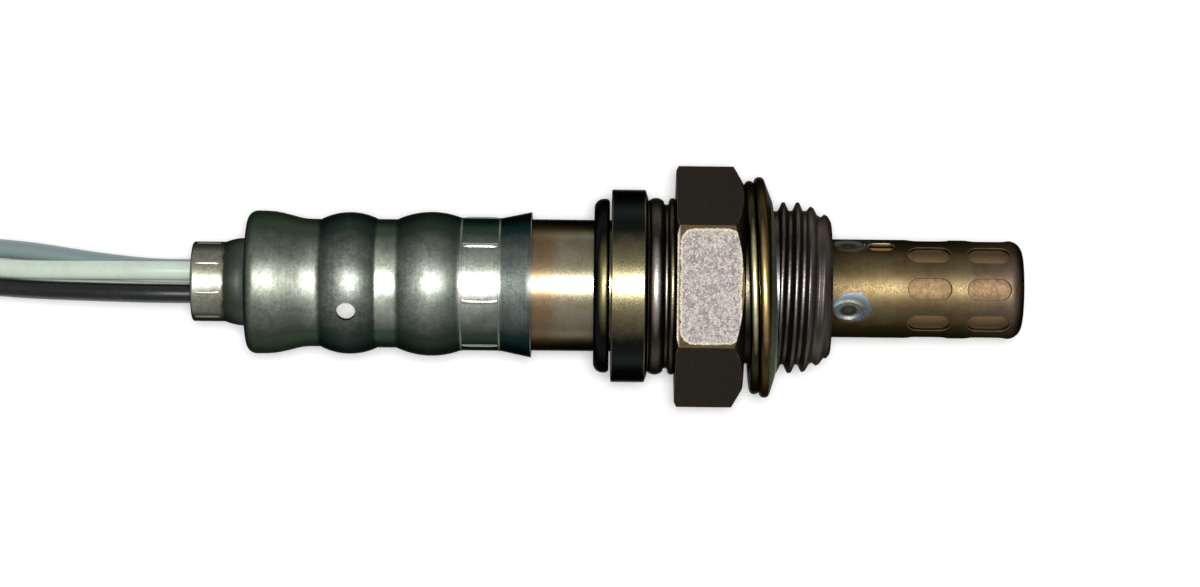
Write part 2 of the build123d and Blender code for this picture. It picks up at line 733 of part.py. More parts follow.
# Ground contact: its strip steps outwards to a clip round the element's rear end
with BuildPart() as ground_contact:
    jog_x = cup_rear + contact_width
    clip_inside = element_radius + fit
    clip_rear = element_end - clip_length / 3
    with BuildSketch(Plane.YZ.offset(barrel_rear)):
        with Locations(wire_places[3]):
            Circle(barrel_radius)
    extrude(amount=barrel_front - barrel_rear)
    with BuildSketch(radial_plane((strip_rear + jog_x) / 2, wire_turns[3], strip_radius)):
        Rectangle(jog_x - strip_rear, contact_width)
    extrude(amount=contact_sheet)
    with BuildSketch(radial_plane(jog_x - contact_sheet / 2, wire_turns[3], strip_radius)):
        Rectangle(contact_sheet, contact_width)
    extrude(amount=clip_inside + contact_sheet - strip_radius)
    with BuildSketch(radial_plane((jog_x - contact_sheet + element_end) / 2, wire_turns[3],
                                  clip_inside)):
        Rectangle(element_end - jog_x + contact_sheet, contact_width)
    extrude(amount=contact_sheet)
    with BuildSketch(Plane.YZ.offset(clip_rear)):
        Circle(clip_inside + contact_sheet)
        Circle(clip_inside, mode=Mode.SUBTRACT)
        with PolarLocations(element_radius, 1, start_angle=wire_turns[3] + 270):
            Rectangle(element_radius, 2 * contact_width, mode=Mode.SUBTRACT)
    extrude(amount=clip_length)
pieces["ground_contact"] = ground_contact

# Gasket: one strip folded three times, tilted and hanging loose behind the thread
with BuildPart() as gasket:
    gasket_x = (hex_front + gasket_rest_gap + gasket_thickness / 2
                + hex_face_radius * sin(radians(gasket_tilt)))
    gasket_lift = gasket_hang * (gasket_bore - relief_radius)
    gasket_axis = Vector(cos(radians(gasket_tilt)), sin(radians(gasket_tilt)), 0)
    gasket_plane = Plane(origin=(gasket_x, 0, gasket_lift), x_dir=gasket_axis, z_dir=(0, 0, 1))
    layer_pitch = gasket_sheet + gasket_layer_gap
    end_x = (gasket_thickness - gasket_sheet) / 2
    low = gasket_bore + gasket_sheet / 2
    high = gasket_radius - gasket_sheet / 2
    front_fold_x = end_x - gasket_dish
    inner_fold_x = front_fold_x - layer_pitch + gasket_layer_gap
    with BuildSketch(gasket_plane):
        with BuildLine():
            FilletPolyline((end_x, low), (front_fold_x, high), (front_fold_x - layer_pitch, high),
                           (inner_fold_x, low + gasket_inner_step),
                           (inner_fold_x - layer_pitch, low + gasket_inner_step),
                           (layer_pitch - end_x, high - gasket_rear_step),
                           (-end_x, high - gasket_rear_step), (-end_x, low), radius=gasket_fold)
            offset(amount=gasket_sheet / 2, side=Side.BOTH, mode=Mode.REPLACE)
        make_face()
    revolve(axis=Axis((gasket_x, 0, gasket_lift), gasket_axis))
pieces["gasket"] = gasket

# The four wires, from their contacts through the grommet to the loom's mouth
for index, name, points in ((0, "white_wire_1", white_wire_1_points),
                            (1, "black_wire", black_wire_points),
                            (2, "white_wire_2", white_wire_2_points),
                            (3, "grey_wire", grey_wire_points)):
    straight = [(barrel_rear, *wire_places[index]), (wire_straight_end, *wire_places[index])]
    route = [*straight, *points]
    radii = corner_radii(route)
    print(name, "arc radii", [round(radius, 1) for radius in radii])
    with BuildPart() as wire:
        with BuildLine():
            wire_line = FilletPolyline(*route, radius=radii)
        with BuildSketch(Plane(origin=wire_line @ 0, z_dir=wire_line % 0)):
            Circle(wire_radius)
        sweep()
    print(name, "length", round(wire_line.length, 1), "volume ratio",
          round(wire.part.volume / (wire_line.length * pi * wire_radius ** 2), 4))
    pieces[name] = wire

# The loom, a braided sleeve round the wires
with BuildPart() as loom:
    radii = corner_radii(loom_points)
    print("loom arc radii", [round(radius, 1) for radius in radii])
    with BuildLine():
        loom_line = FilletPolyline(*loom_points, radius=radii)
    with BuildSketch(Plane(origin=loom_line @ 0, z_dir=loom_line % 0)):
        Circle(loom_radius)
    sweep()
    print("loom length", round(loom_line.length, 1), "volume ratio",
          round(loom.part.volume / (loom_line.length * pi * loom_radius ** 2), 4))
pieces["loom"] = loom

# Cable tie round the two stretches that lie side by side
with BuildPart() as cable_tie:
    first = Vector(*place_on_run(loom_points[1], loom_points[2], tie_place))
    second = Vector(*place_on_run(loom_points[15], loom_points[16], tie_place))
    middle = (first + second) / 2
    across = first - second
    band_inside = loom_radius + tie_gap
    with BuildSketch(Plane.YZ.offset(tie_place - tie_width / 2)):
        with Locations(Location((middle.X, middle.Y, 0), across.get_signed_angle(Vector(1, 0, 0)))):
            SlotCenterToCenter(across.length, 2 * (band_inside + tie_thickness))
            SlotCenterToCenter(across.length, 2 * band_inside, mode=Mode.SUBTRACT)
    extrude(amount=tie_width)
    with BuildSketch(Plane.XY.offset(middle.Y + band_inside + tie_thickness / 2)):
        with Locations((tie_place, middle.X)):
            Rectangle(tie_head_length, tie_head_width)
    extrude(amount=tie_head_height)
pieces["cable_tie"] = cable_tie

# Boot, from the loom to the connector's rear
with BuildPart() as connector_boot:
    with BuildSketch(plug_plane(boot_rear)):
        Circle(boot_rear_radius)
    with BuildSketch(plug_plane(plug_rear)):
        RectangleRounded(boot_width, boot_height, boot_rear_radius)
    loft()
    with BuildSketch(plug_plane(boot_rear)):
        Circle(loom_radius + fit)
    extrude(amount=boot_depth, mode=Mode.SUBTRACT)
pieces["connector_boot"] = connector_boot

# Connector body: shell, nose with four cavities, latch arm between two rails, grip ribs
with BuildPart() as connector_body:
    with BuildSketch(plug_plane(plug_rear)):
        RectangleRounded(plug_width, plug_height, plug_corner)
    extrude(amount=plug_length)
    with BuildSketch(plug_plane(plug_front)):
        RectangleRounded(nose_width, nose_height, nose_corner)
    extrude(amount=nose_length)
    with BuildSketch(plug_plane(nose_end)):
        with GridLocations(cavity_pitch, cavity_pitch, 4, 1):
            Rectangle(cavity_size, cavity_size)
    extrude(amount=-cavity_depth, mode=Mode.SUBTRACT)
    latch_rear = plug_rear - latch_rear_gap
    latch_middle = (latch_rear + plug_front) / 2
    with BuildSketch(Plane.XY.offset(plug_top + latch_gap)):
        with Locations((latch_middle, plug_y)):
            Rectangle(latch_rear - plug_front, latch_width)
    extrude(amount=latch_thickness)
    with BuildSketch(Plane.XY.offset(plug_top)):
        with Locations((plug_front + latch_foot / 2, plug_y)):
            Rectangle(latch_foot, latch_width)
    extrude(amount=latch_gap)
    with BuildSketch(Plane.XY.offset(plug_top + latch_gap + latch_thickness)):
        with Locations((latch_middle, plug_y), (latch_rear - latch_hook, plug_y)):
            Rectangle(2 * latch_hook, latch_width)
    extrude(amount=latch_hook)
    with BuildSketch(Plane.XY.offset(plug_top)):
        rail_y = latch_width / 2 + rail_gap + rail_thickness / 2
        with Locations((plug_front + rail_length / 2, plug_y - rail_y),
                       (plug_front + rail_length / 2, plug_y + rail_y)):
            Rectangle(rail_length, rail_thickness)
    extrude(amount=latch_gap + latch_thickness)
    with BuildSketch(Plane.XY.offset(plug_z - nose_height / 2)):
        rib_x = plug_rear - plug_rib_pitch * (plug_rib_count + 1) / 2
        with Locations((rib_x, plug_y - plug_width / 2), (rib_x, plug_y + plug_width / 2)):
            with GridLocations(plug_rib_pitch, 1, plug_rib_count, 1):
                Rectangle(plug_rib_width, 2 * plug_rib_height)
    extrude(amount=nose_height)
pieces["connector_body"] = connector_body

# Nose seal, with two ribs
with BuildPart() as connector_seal:
    with BuildSketch(plug_plane(plug_front)):
        RectangleRounded(nose_width + 2 * seal_base, nose_height + 2 * seal_base,
                         nose_corner + seal_base)
    extrude(amount=seal_length)
    rib_rise = seal_base + seal_rib
    for rib_place in (seal_length / 4, 3 * seal_length / 4):
        with BuildSketch(plug_plane(plug_front - rib_place + seal_rib_width / 2)):
            RectangleRounded(nose_width + 2 * rib_rise, nose_height + 2 * rib_rise,
                             nose_corner + rib_rise)
        extrude(amount=seal_rib_width)
    with BuildSketch(plug_plane(plug_front)):
        RectangleRounded(nose_width, nose_height, nose_corner)
    extrude(amount=seal_length, mode=Mode.SUBTRACT)
pieces["connector_seal"] = connector_seal

# Retainer plate on the nose, with a window at each terminal
with BuildPart() as connector_retainer:
    with BuildSketch(plug_plane(nose_end)):
        RectangleRounded(nose_width - 2 * retainer_inset, nose_height - 2 * retainer_inset,
                         nose_corner)
        with GridLocations(cavity_pitch, cavity_pitch, 4, 1):
            Rectangle(retainer_window, retainer_window, mode=Mode.SUBTRACT)
    extrude(amount=retainer_thickness)
pieces["connector_retainer"] = connector_retainer

# Socket terminals in the nose
terminal_size = cavity_size - 2 * fit
terminal_front = nose_end + terminal_recess
for index in range(4):
    terminal_place = ((index - 1.5) * cavity_pitch, 0)
    with BuildPart() as terminal:
        with BuildSketch(plug_plane(terminal_front + terminal_length)):
            with Locations(terminal_place):
                Rectangle(terminal_size, terminal_size)
        extrude(amount=terminal_length)
        with BuildSketch(plug_plane(terminal_front)):
            with Locations(terminal_place):
                Rectangle(terminal_mouth, terminal_mouth)
        extrude(amount=-terminal_mouth_depth, mode=Mode.SUBTRACT)
    pieces[f"terminal_{index + 1}"] = terminal

os.makedirs("parts", exist_ok=True)
for name, piece in pieces.items():
    piece.part.label = name
    export_step(piece.part, f"parts/{name}.step")
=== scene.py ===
import bpy
import bmesh
import json
from math import asin, atan2, copysign, cos, degrees, exp, hypot, pi, radians, sin
from mathutils import Matrix, Vector


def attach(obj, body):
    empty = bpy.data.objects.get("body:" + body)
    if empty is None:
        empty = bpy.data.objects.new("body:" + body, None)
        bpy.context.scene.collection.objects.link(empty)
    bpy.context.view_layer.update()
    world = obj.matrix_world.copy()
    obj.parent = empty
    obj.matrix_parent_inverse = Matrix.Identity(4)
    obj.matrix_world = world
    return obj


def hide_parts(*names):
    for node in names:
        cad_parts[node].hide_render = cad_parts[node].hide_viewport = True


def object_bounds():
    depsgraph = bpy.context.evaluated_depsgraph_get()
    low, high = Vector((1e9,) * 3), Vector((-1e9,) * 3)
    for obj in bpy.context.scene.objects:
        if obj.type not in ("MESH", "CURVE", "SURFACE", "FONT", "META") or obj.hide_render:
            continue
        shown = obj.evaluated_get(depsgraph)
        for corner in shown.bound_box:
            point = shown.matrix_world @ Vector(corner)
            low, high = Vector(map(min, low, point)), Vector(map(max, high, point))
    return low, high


# A heated oxygen sensor lying on a pale table, seen from straight above.
# The sensor's axis is X, the tip points to +X and Z is up. Blender works in metres.

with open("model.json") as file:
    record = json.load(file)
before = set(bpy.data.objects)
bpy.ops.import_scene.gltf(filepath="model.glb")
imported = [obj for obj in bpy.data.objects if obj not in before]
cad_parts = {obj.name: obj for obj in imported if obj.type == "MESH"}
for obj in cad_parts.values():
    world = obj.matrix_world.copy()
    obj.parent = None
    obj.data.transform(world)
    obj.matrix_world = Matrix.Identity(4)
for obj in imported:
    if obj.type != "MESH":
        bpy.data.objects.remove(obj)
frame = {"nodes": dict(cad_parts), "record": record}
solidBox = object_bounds()
mm = 0.001
white = (1.0, 1.0, 1.0)


# Node helpers

def feed(socket, value):
    # The value is a number, a colour, a vector or another node's output
    if isinstance(value, bpy.types.NodeSocket):
        socket.id_data.links.new(value, socket)
    elif socket.type == "RGBA":
        socket.default_value = (*value, 1.0)
    else:
        socket.default_value = value


def feedAll(sockets, **values):
    # An underscore stands for the space in a socket's name
    for label, value in values.items():
        feed(sockets[label.replace("_", " ")], value)


def addNode(tree, kind, feeds=None, **settings):
    # feeds holds the values of the node's sockets, by name or number; nodes are laid out in rows of six
    node = tree.nodes.new("ShaderNode" + kind)
    row, column = divmod(len(tree.nodes), 6)
    node.location = (220 * column - 1600, 300 - 280 * row)
    for key, value in settings.items():
        setattr(node, key, value)
    for label, value in (feeds or {}).items():
        feed(node.inputs[label], value)
    return node


def startGroup(name, **inputs):
    group = bpy.data.node_groups.new(name, "ShaderNodeTree")
    for label, default in inputs.items():
        socket = group.interface.new_socket(name=label.replace("_", " "), in_out="INPUT",
                                            socket_type="NodeSocketFloat")
        socket.default_value = default
    entry = group.nodes.new("NodeGroupInput")
    entry.location = (-1900, 0)
    return group, entry.outputs


def endGroup(group, **outputs):
    for label in outputs:
        group.interface.new_socket(name=label, in_out="OUTPUT", socket_type="NodeSocketFloat")
    leave = group.nodes.new("NodeGroupOutput")
    feedAll(leave.inputs, **outputs)
    return group


def placeGroup(tree, group, **values):
    node = addNode(tree, "Group", node_tree=group)
    feedAll(node.inputs, **values)
    return node.outputs


def treeOf(*values):
    # The tree that the first socket among the values belongs to
    return next(value.id_data for value in values if isinstance(value, bpy.types.NodeSocket))


def calc(operation, *values):
    return addNode(treeOf(*values), "Math", dict(enumerate(values)), operation=operation).outputs[0]


def times(first, second):
    return calc("MULTIPLY", first, second)


def mixColours(share, first, second, blend="MIX"):
    feeds = {0: share, 6: first, 7: second}
    node = addNode(treeOf(share, first), "Mix", feeds, data_type="RGBA", blend_type=blend)
    return node.outputs[2]


def spread(value, fromLow, fromHigh, toLow=0.0, toHigh=1.0, style="SMOOTHSTEP"):
    feeds = {"Value": value, "From Min": fromLow, "From Max": fromHigh, "To Min": toLow, "To Max": toHigh}
    return addNode(value.id_data, "MapRange", feeds, interpolation_type=style).outputs["Result"]


def objectPlace(tree):
    return addNode(tree, "TexCoord").outputs["Object"]


def splitOf(vector):
    return addNode(vector.id_data, "SeparateXYZ", {0: vector}).outputs


def noiseOf(tree, scale, vector=None, **values):
    if vector is None:
        vector = objectPlace(tree)
    return addNode(tree, "TexNoise", {"Vector": vector, "Scale": scale, **values}).outputs["Fac"]


def rubbedShare(tree, strength):
    # How far the rubbed corners of a piece take their own colour
    worn = addNode(tree, "Attribute", attribute_name="worn", attribute_type="GEOMETRY")
    return times(worn.outputs["Fac"], strength)


# Shared effects

def raggedEdge(given, value, **values):
    # The value, made uneven by a noise of the group's own size and raggedness
    noise = noiseOf(value.id_data, calc("DIVIDE", 1.0, given["Size"]), **values)
    wobble = times(calc("SUBTRACT", noise, 0.5), given["Raggedness"])
    return calc("ADD", value, wobble)


def cellsOf(group, scale, feeds, **settings):
    # A cell pattern's distance and the parts of its random colour
    feeds = {"Vector": objectPlace(group), "Scale": scale, **feeds}
    cells = addNode(group, "TexVoronoi", feeds, **settings)
    random = addNode(group, "SeparateColor", {0: cells.outputs["Color"]})
    return cells.outputs["Distance"], random.outputs


def makeBlotchGroup():
    # Soft stains of one size, plus a fine speckle
    group, given = startGroup("blotches", Size=3 * mm, Low=0.4, High=0.6)
    scale = calc("DIVIDE", 1.0, given["Size"])
    stain = noiseOf(group, scale, Detail=5.0, Roughness=0.62, Distortion=0.4)
    fine = noiseOf(group, times(scale, 9.0), Detail=3.0)
    return endGroup(group, Mask=spread(stain, given["Low"], given["High"]), Speckle=fine)


def makeTurningGroup():
    # Fine rings round the sensor's axis, left by the lathe or the forming roller
    group, given = startGroup("turningMarks", Pitch=0.2 * mm)
    squeezed = addNode(group, "VectorMath", {0: objectPlace(group), 1: (1.0, 0.03, 0.03)},
                       operation="MULTIPLY")
    scale = calc("DIVIDE", 1.0, given["Pitch"])
    return endGroup(group, Height=noiseOf(group, scale, squeezed.outputs[0], Detail=4.0, Roughness=0.7))


def makeFlankShadeGroup():
    # Painted shade: a darker colour on the flanks that face sideways, fading out where the metal faces up
    # or down
    group, given = startGroup("paintedFlankShade", Bright=0.93, Dark=0.45, Raggedness=0.15, Size=2 * mm)
    normal = addNode(group, "TexCoord").outputs["Normal"]
    upright = calc("ABSOLUTE", splitOf(normal)["Z"])
    edge = raggedEdge(given, upright, Detail=5.0, Roughness=0.65)
    return endGroup(group, Mask=spread(edge, given["Bright"], given["Dark"]))


def makePitGroup():
    # Small round pits and specks scattered over a surface
    group, given = startGroup("pits", Spacing=1 * mm, Width=0.22)
    distance, random = cellsOf(group, calc("DIVIDE", 1.0, given["Spacing"]), {})
    half = times(given["Width"], 0.5)
    mask = spread(distance, given["Width"], half)
    return endGroup(group, Mask=times(mask, spread(random[0], 0.6, 0.75)))


def makeReachGroup():
    # How far along the sensor's axis a point lies between two places, with a ragged edge
    group, given = startGroup("reachAlongAxis", Start=0.0, End=10 * mm, Raggedness=0.5 * mm, Size=2 * mm)
    moved = raggedEdge(given, splitOf(objectPlace(group))["X"], Detail=4.0)
    return endGroup(group, Share=spread(moved, given["Start"], given["End"], style="LINEAR"))


def makeGrainGroup():
    # Fine crystal-like cells, as on blasted, etched or spark-eroded surfaces
    group, given = startGroup("grainCells", Size=0.3 * mm)
    scale = calc("DIVIDE", 1.0, given["Size"])
    distance, random = cellsOf(group, scale, {"Smoothness": 0.35}, feature="SMOOTH_F1")
    rough = noiseOf(group, times(scale, 0.7), Detail=3.0)
    mottled = calc("ADD", times(random[1], 0.55),
                   times(rough, 0.45))
    return endGroup(group, Height=calc("ADD", distance, rough),
                    Shade=spread(mottled, 0.2, 0.78))


def makeWeldGroup():
    # How far a point lies from the nearest of four welds round the axis; a weld's rim is at 0.5
    group, given = startGroup("weldDistance", Place=0.0, Turn=0.0, Length=1 * mm, Width=1 * mm)
    place = objectPlace(group)
    turned = addNode(group, "VectorRotate", {"Vector": place, "Angle": given["Turn"]},
                     rotation_type="X_AXIS")
    sides = splitOf(turned.outputs[0])
    across = calc("MINIMUM", *(calc("ABSOLUTE", sides[axis]) for axis in "YZ"))
    along = calc("SUBTRACT", sides["X"], given["Place"])
    squares = [calc("POWER", calc("DIVIDE", value, given[label]), 2.0)
               for value, label in ((along, "Length"), (across, "Width"))]
    reach = calc("SQRT", calc("ADD", *squares))
    wobble = calc("MULTIPLY_ADD", noiseOf(group, 900.0, place), 0.2, 0.4)
    return endGroup(group, Reach=times(reach, wobble))


def makeBraidGroup():
    # Strands that wind both ways and pass over and under each other, on the piece's UV map
    group, given = startGroup("braid", Around=14.0, Along=300.0)
    split = splitOf(addNode(group, "TexCoord").outputs["UV"])
    along = times(split["X"], given["Along"])
    around = times(split["Y"], given["Around"])
    heights = []
    floors = []
    for winding in ("ADD", "SUBTRACT"):
        strand = calc(winding, along, around)
        middle = calc("SUBTRACT", calc("FRACT", strand), 0.5)
        heights.append(spread(calc("ABSOLUTE", middle), 0.5, 0.1))
        floors.append(calc("FLOOR", strand))
    over = calc("PINGPONG", calc("ADD", *floors), 1.0)
    feeds = {0: over, 2: heights[0], 3: heights[1]}
    return endGroup(group, Height=addNode(group, "Mix", feeds, data_type="FLOAT").outputs[0])


def makeFlatGroup():
    # How far outside a patch with rounded corners a point lies, the same on each of six flats
    group, given = startGroup("patchOnFlats", Middle=0.0, Half_Length=3 * mm, Half_Width=6 * mm,
                              Corner=1 * mm)
    split = splitOf(objectPlace(group))
    turn = calc("ARCTAN2", split["Y"], split["Z"])
    folded = calc("MODULO", calc("ADD", turn, radians(390)), radians(60))
    centred = calc("SUBTRACT", folded, radians(30))
    radial = addNode(group, "CombineXYZ", {"Y": split["Y"], "Z": split["Z"]}).outputs[0]
    radius = addNode(group, "VectorMath", {0: radial}, operation="LENGTH").outputs["Value"]
    across = times(calc("SINE", centred), radius)
    along = calc("SUBTRACT", split["X"], given["Middle"])
    squares = []
    for value, half in ((along, "Half Length"), (across, "Half Width")):
        inner = calc("SUBTRACT", given[half], given["Corner"])
        over = calc("SUBTRACT", calc("ABSOLUTE", value), inner)
        kept = calc("MAXIMUM", over, 0.0)
        squares.append(times(kept, kept))
    reach = calc("SQRT", calc("ADD", *squares))
    return endGroup(group, Reach=calc("DIVIDE", reach, given["Corner"]))


blotches = makeBlotchGroup()
turningMarks = makeTurningGroup()
paintedFlankShade = makeFlankShadeGroup()
pits = makePitGroup()
reachAlongAxis = makeReachGroup()
grainCells = makeGrainGroup()
weldDistance = makeWeldGroup()
braid = makeBraidGroup()
patchOnFlats = makeFlatGroup()


# Materials

def newMaterial(name, **values):
    material = bpy.data.materials.new(name)
    material.use_nodes = True
    tree = material.node_tree
    shader = tree.nodes["Principled BSDF"].inputs
    feedAll(shader, **values)
    return material, tree, shader


def addBump(shader, height, distance):
    feeds = {"Distance": distance, "Strength": 1.0, "Height": height}
    feed(shader["Normal"], addNode(height.id_data, "Bump", feeds).outputs["Normal"])


def bandRamp(share, stops):
    # stops are (share, colour, second value); the second value comes out as Alpha
    ramp = addNode(share.id_data, "ValToRGB", {"Fac": share})
    while len(ramp.color_ramp.elements) < len(stops):
        ramp.color_ramp.elements.new(0.5)
    for element, (position, colour, second) in zip(ramp.color_ramp.elements, stops):
        element.position = position
        element.color = (*colour, second)
    return ramp.outputs


grazingTint = (0.12, 0.12, 0.12)


def wornMetal(name, finish):
    # Ground colour, the painted shade on the flanks, roughness and grain all change along the sensor's axis
    material, tree, shader = newMaterial(name, Metallic=1.0, Specular_Tint=grazingTint)
    rows = finish["stretches"]
    start, end = rows[0][0], rows[-1][0]
    reach = placeGroup(tree, reachAlongAxis, Start=start * mm, End=end * mm,
                       Raggedness=finish["ragged"] * mm, Size=0.8 * mm)
    ground, flankShadeAndGrain = [
        bandRamp(reach["Share"],
                 [((row[0] - start) / (end - start), row[column], row[column + 2]) for row in rows])
        for column in (1, 2)]
    stains = placeGroup(tree, blotches, Size=finish["stainSize"] * mm, Low=0.38, High=0.68)
    bright, dark, ragged = finish["flank"]
    flankShadeMask = placeGroup(tree, paintedFlankShade, Bright=bright, Dark=dark, Raggedness=ragged, Size=1.2 * mm)
    marks = placeGroup(tree, turningMarks, Pitch=finish["markPitch"] * mm)
    grains = placeGroup(tree, grainCells, Size=finish.get("grainSize", 0.3) * mm)
    stained = mixColours(times(stains["Mask"], finish["stainShare"]),
                         ground["Color"], finish["stain"], "MULTIPLY")
    streaks = spread(marks["Height"], 0.3, 0.7, 1 - finish["streak"], 1.0)
    grey = addNode(tree, "CombineColor", {channel: streaks for channel in range(3)}).outputs[0]
    streaked = mixColours(1.0, stained, grey, "MULTIPLY")
    speckle = times(grains["Shade"], flankShadeAndGrain["Alpha"])
    speckled = mixColours(speckle, streaked, finish["speckle"])
    # Painted shade: where the surface faces sideways it takes the darker flank colour
    flankShaded = mixColours(flankShadeMask["Mask"], speckled, flankShadeAndGrain["Color"])
    base = mixColours(rubbedShare(tree, finish["rubShare"]), flankShaded, finish["rub"])
    uneven = spread(stains["Speckle"], 0.3, 0.7, -finish["roughSpread"], finish["roughSpread"])
    feedAll(shader, Base_Color=base, Roughness=calc("ADD", ground["Alpha"], uneven))
    lines = times(marks["Height"], finish["markDepth"])
    bumps = times(grains["Height"], flankShadeAndGrain["Alpha"])
    addBump(shader, calc("MULTIPLY_ADD", bumps, finish["grainDepth"], lines), 0.01 * mm)
    return material, tree, shader, base


# Each row is a place along the axis in mm, the colour on top, the painted shade on the flanks,
# the roughness and how grainy the metal is there
# On the sleeve the paler rear rim is a painted highlight, the pale smooth necks are partly polish and
# partly a painted highlight, and the narrow dark rows at the crimp edges and the mouth are painted shade
sleeveFinishAndPaintedLight = {"stretches": [
    (-56.0, (0.530, 0.556, 0.470), (0.044, 0.060, 0.046), 0.42, 0.28),
    (-54.6, (0.388, 0.412, 0.346), (0.050, 0.067, 0.049), 0.46, 0.28),
    (-49.8, (0.428, 0.453, 0.384), (0.056, 0.072, 0.050), 0.46, 0.23),
    (-48.2, (0.673, 0.700, 0.614), (0.056, 0.072, 0.053), 0.42, 0.19),
    (-47.8, (0.224, 0.247, 0.221), (0.021, 0.031, 0.027), 0.42, 0.47),
    (-45.0, (0.428, 0.453, 0.403), (0.037, 0.050, 0.043), 0.43, 0.38),
    (-42.2, (0.204, 0.237, 0.202), (0.022, 0.033, 0.028), 0.42, 0.38),
    (-41.9, (0.857, 0.886, 0.768), (0.050, 0.070, 0.053), 0.37, 0.10),
    (-40.1, (0.816, 0.845, 0.730), (0.048, 0.067, 0.050), 0.37, 0.10),
    (-39.7, (0.224, 0.258, 0.221), (0.024, 0.034, 0.029), 0.42, 0.38),
    (-36.6, (0.510, 0.536, 0.470), (0.037, 0.050, 0.040), 0.43, 0.28),
    (-33.5, (0.245, 0.278, 0.240), (0.027, 0.040, 0.033), 0.42, 0.19),
    (-33.1, (0.673, 0.700, 0.614), (0.037, 0.052, 0.040), 0.35, 0.10),
    (-29.2, (0.673, 0.700, 0.614), (0.035, 0.050, 0.040), 0.35, 0.10),
    (-28.8, (0.367, 0.412, 0.384), (0.018, 0.031, 0.030), 0.36, 0.19),
    (-26.3, (0.347, 0.391, 0.365), (0.014, 0.027, 0.027), 0.36, 0.19),
    (-25.7, (0.082, 0.103, 0.096), (0.011, 0.020, 0.020), 0.40, 0.19)],
    "ragged": 0.3, "stainSize": 2.0, "stain": (0.60, 0.65, 0.58), "stainShare": 0.8,
    "flank": (1.0, 0.64, 0.09), "markPitch": 0.22, "markDepth": 0.35, "streak": 0.16,
    "speckle": (0.085, 0.09, 0.075), "grainDepth": 0.7, "grainSize": 0.26, "roughSpread": 0.05,
    "rub": (0.66, 0.68, 0.64), "rubShare": 0.5}

tubeFinishAndShade = {"stretches": [
    (-61.6, (0.66, 0.68, 0.56), (0.062, 0.070, 0.054), 0.40, 0.35),
    (-58.3, (0.60, 0.62, 0.51), (0.062, 0.070, 0.054), 0.40, 0.35),
    # Painted shade: the dark rows over the crease and the shoulder behind the collar
    (-57.9, (0.05, 0.06, 0.05), (0.030, 0.034, 0.030), 0.50, 0.20),
    (-55.9, (0.15, 0.17, 0.14), (0.075, 0.080, 0.070), 0.50, 0.20),
    (-50.0, (0.30, 0.28, 0.20), (0.060, 0.065, 0.055), 0.50, 0.20),
    (-26.0, (0.44, 0.31, 0.18), (0.048, 0.036, 0.020), 0.32, 0.03),
    (-24.0, (0.50, 0.365, 0.225), (0.048, 0.040, 0.022), 0.30, 0.03),
    (-22.5, (0.60, 0.53, 0.38), (0.044, 0.040, 0.024), 0.27, 0.03),
    (-19.0, (0.52, 0.50, 0.34), (0.034, 0.034, 0.020), 0.28, 0.03)],
    "ragged": 0.8, "stainSize": 2.2, "stain": (0.80, 0.66, 0.50), "stainShare": 0.5,
    "flank": (1.0, 0.52, 0.07), "markPitch": 0.1, "markDepth": 0.15, "streak": 0.06,
    "speckle": (0.1, 0.1, 0.08), "grainDepth": 0.3, "roughSpread": 0.03,
    "rub": (0.55, 0.55, 0.48), "rubShare": 0.4}

ringFinish = {"stretches": [
    (-19.4, (0.24, 0.20, 0.10), (0.013, 0.015, 0.014), 0.38, 0.1),
    (-17.5, (0.30, 0.26, 0.13), (0.015, 0.017, 0.015), 0.38, 0.1)],
    "ragged": 0.2, "stainSize": 1.5, "stain": (0.7, 0.7, 0.6), "stainShare": 0.5,
    "flank": (1.0, 0.8, 0.06), "markPitch": 0.15, "markDepth": 0.4, "streak": 0.2,
    "speckle": (0.08, 0.08, 0.05), "grainDepth": 0.3, "roughSpread": 0.04,
    "rub": (0.3, 0.28, 0.18), "rubShare": 0.2}

housingFinish = {"stretches": [
    (-17.6, (0.30, 0.25, 0.12), (0.016, 0.020, 0.020), 0.34, 0.15),
    (-16.6, (0.34, 0.30, 0.16), (0.017, 0.021, 0.021), 0.28, 0.10),
    (-14.0, (0.36, 0.32, 0.18), (0.018, 0.022, 0.018), 0.28, 0.10),
    (-13.5, (0.42, 0.36, 0.24), (0.060, 0.050, 0.038), 0.36, 0.20),
    (-12.4, (0.66, 0.62, 0.60), (0.068, 0.058, 0.050), 0.34, 0.20),
    (-11.2, (0.56, 0.48, 0.26), (0.060, 0.052, 0.036), 0.36, 0.20),
    (-10.7, (0.24, 0.20, 0.12), (0.045, 0.038, 0.028), 0.42, 0.50),
    (-10.3, (0.25, 0.232, 0.205), (0.050, 0.044, 0.038), 0.50, 0.9),
    (-4.1, (0.25, 0.232, 0.205), (0.048, 0.042, 0.036), 0.50, 0.9),
    (-3.4, (0.24, 0.22, 0.12), (0.040, 0.040, 0.028), 0.42, 0.4),
    (-0.4, (0.34, 0.31, 0.28), (0.075, 0.070, 0.055), 0.40, 0.4),
    (1.8, (0.36, 0.335, 0.34), (0.090, 0.080, 0.068), 0.40, 0.4),
    (4.3, (0.32, 0.285, 0.27), (0.105, 0.090, 0.078), 0.42, 0.45),
    (5.7, (0.10, 0.09, 0.08), (0.045, 0.042, 0.034), 0.45, 0.4)],
    "ragged": 0.3, "stainSize": 1.1, "stain": (0.78, 0.72, 0.68), "stainShare": 0.5,
    "flank": (0.995, 0.8, 0.08), "markPitch": 0.14, "markDepth": 0.3, "streak": 0.12,
    "speckle": (0.110, 0.092, 0.096), "grainDepth": 2.2, "grainSize": 0.21, "roughSpread": 0.06,
    "rub": (0.30, 0.27, 0.18), "rubShare": 0.25}

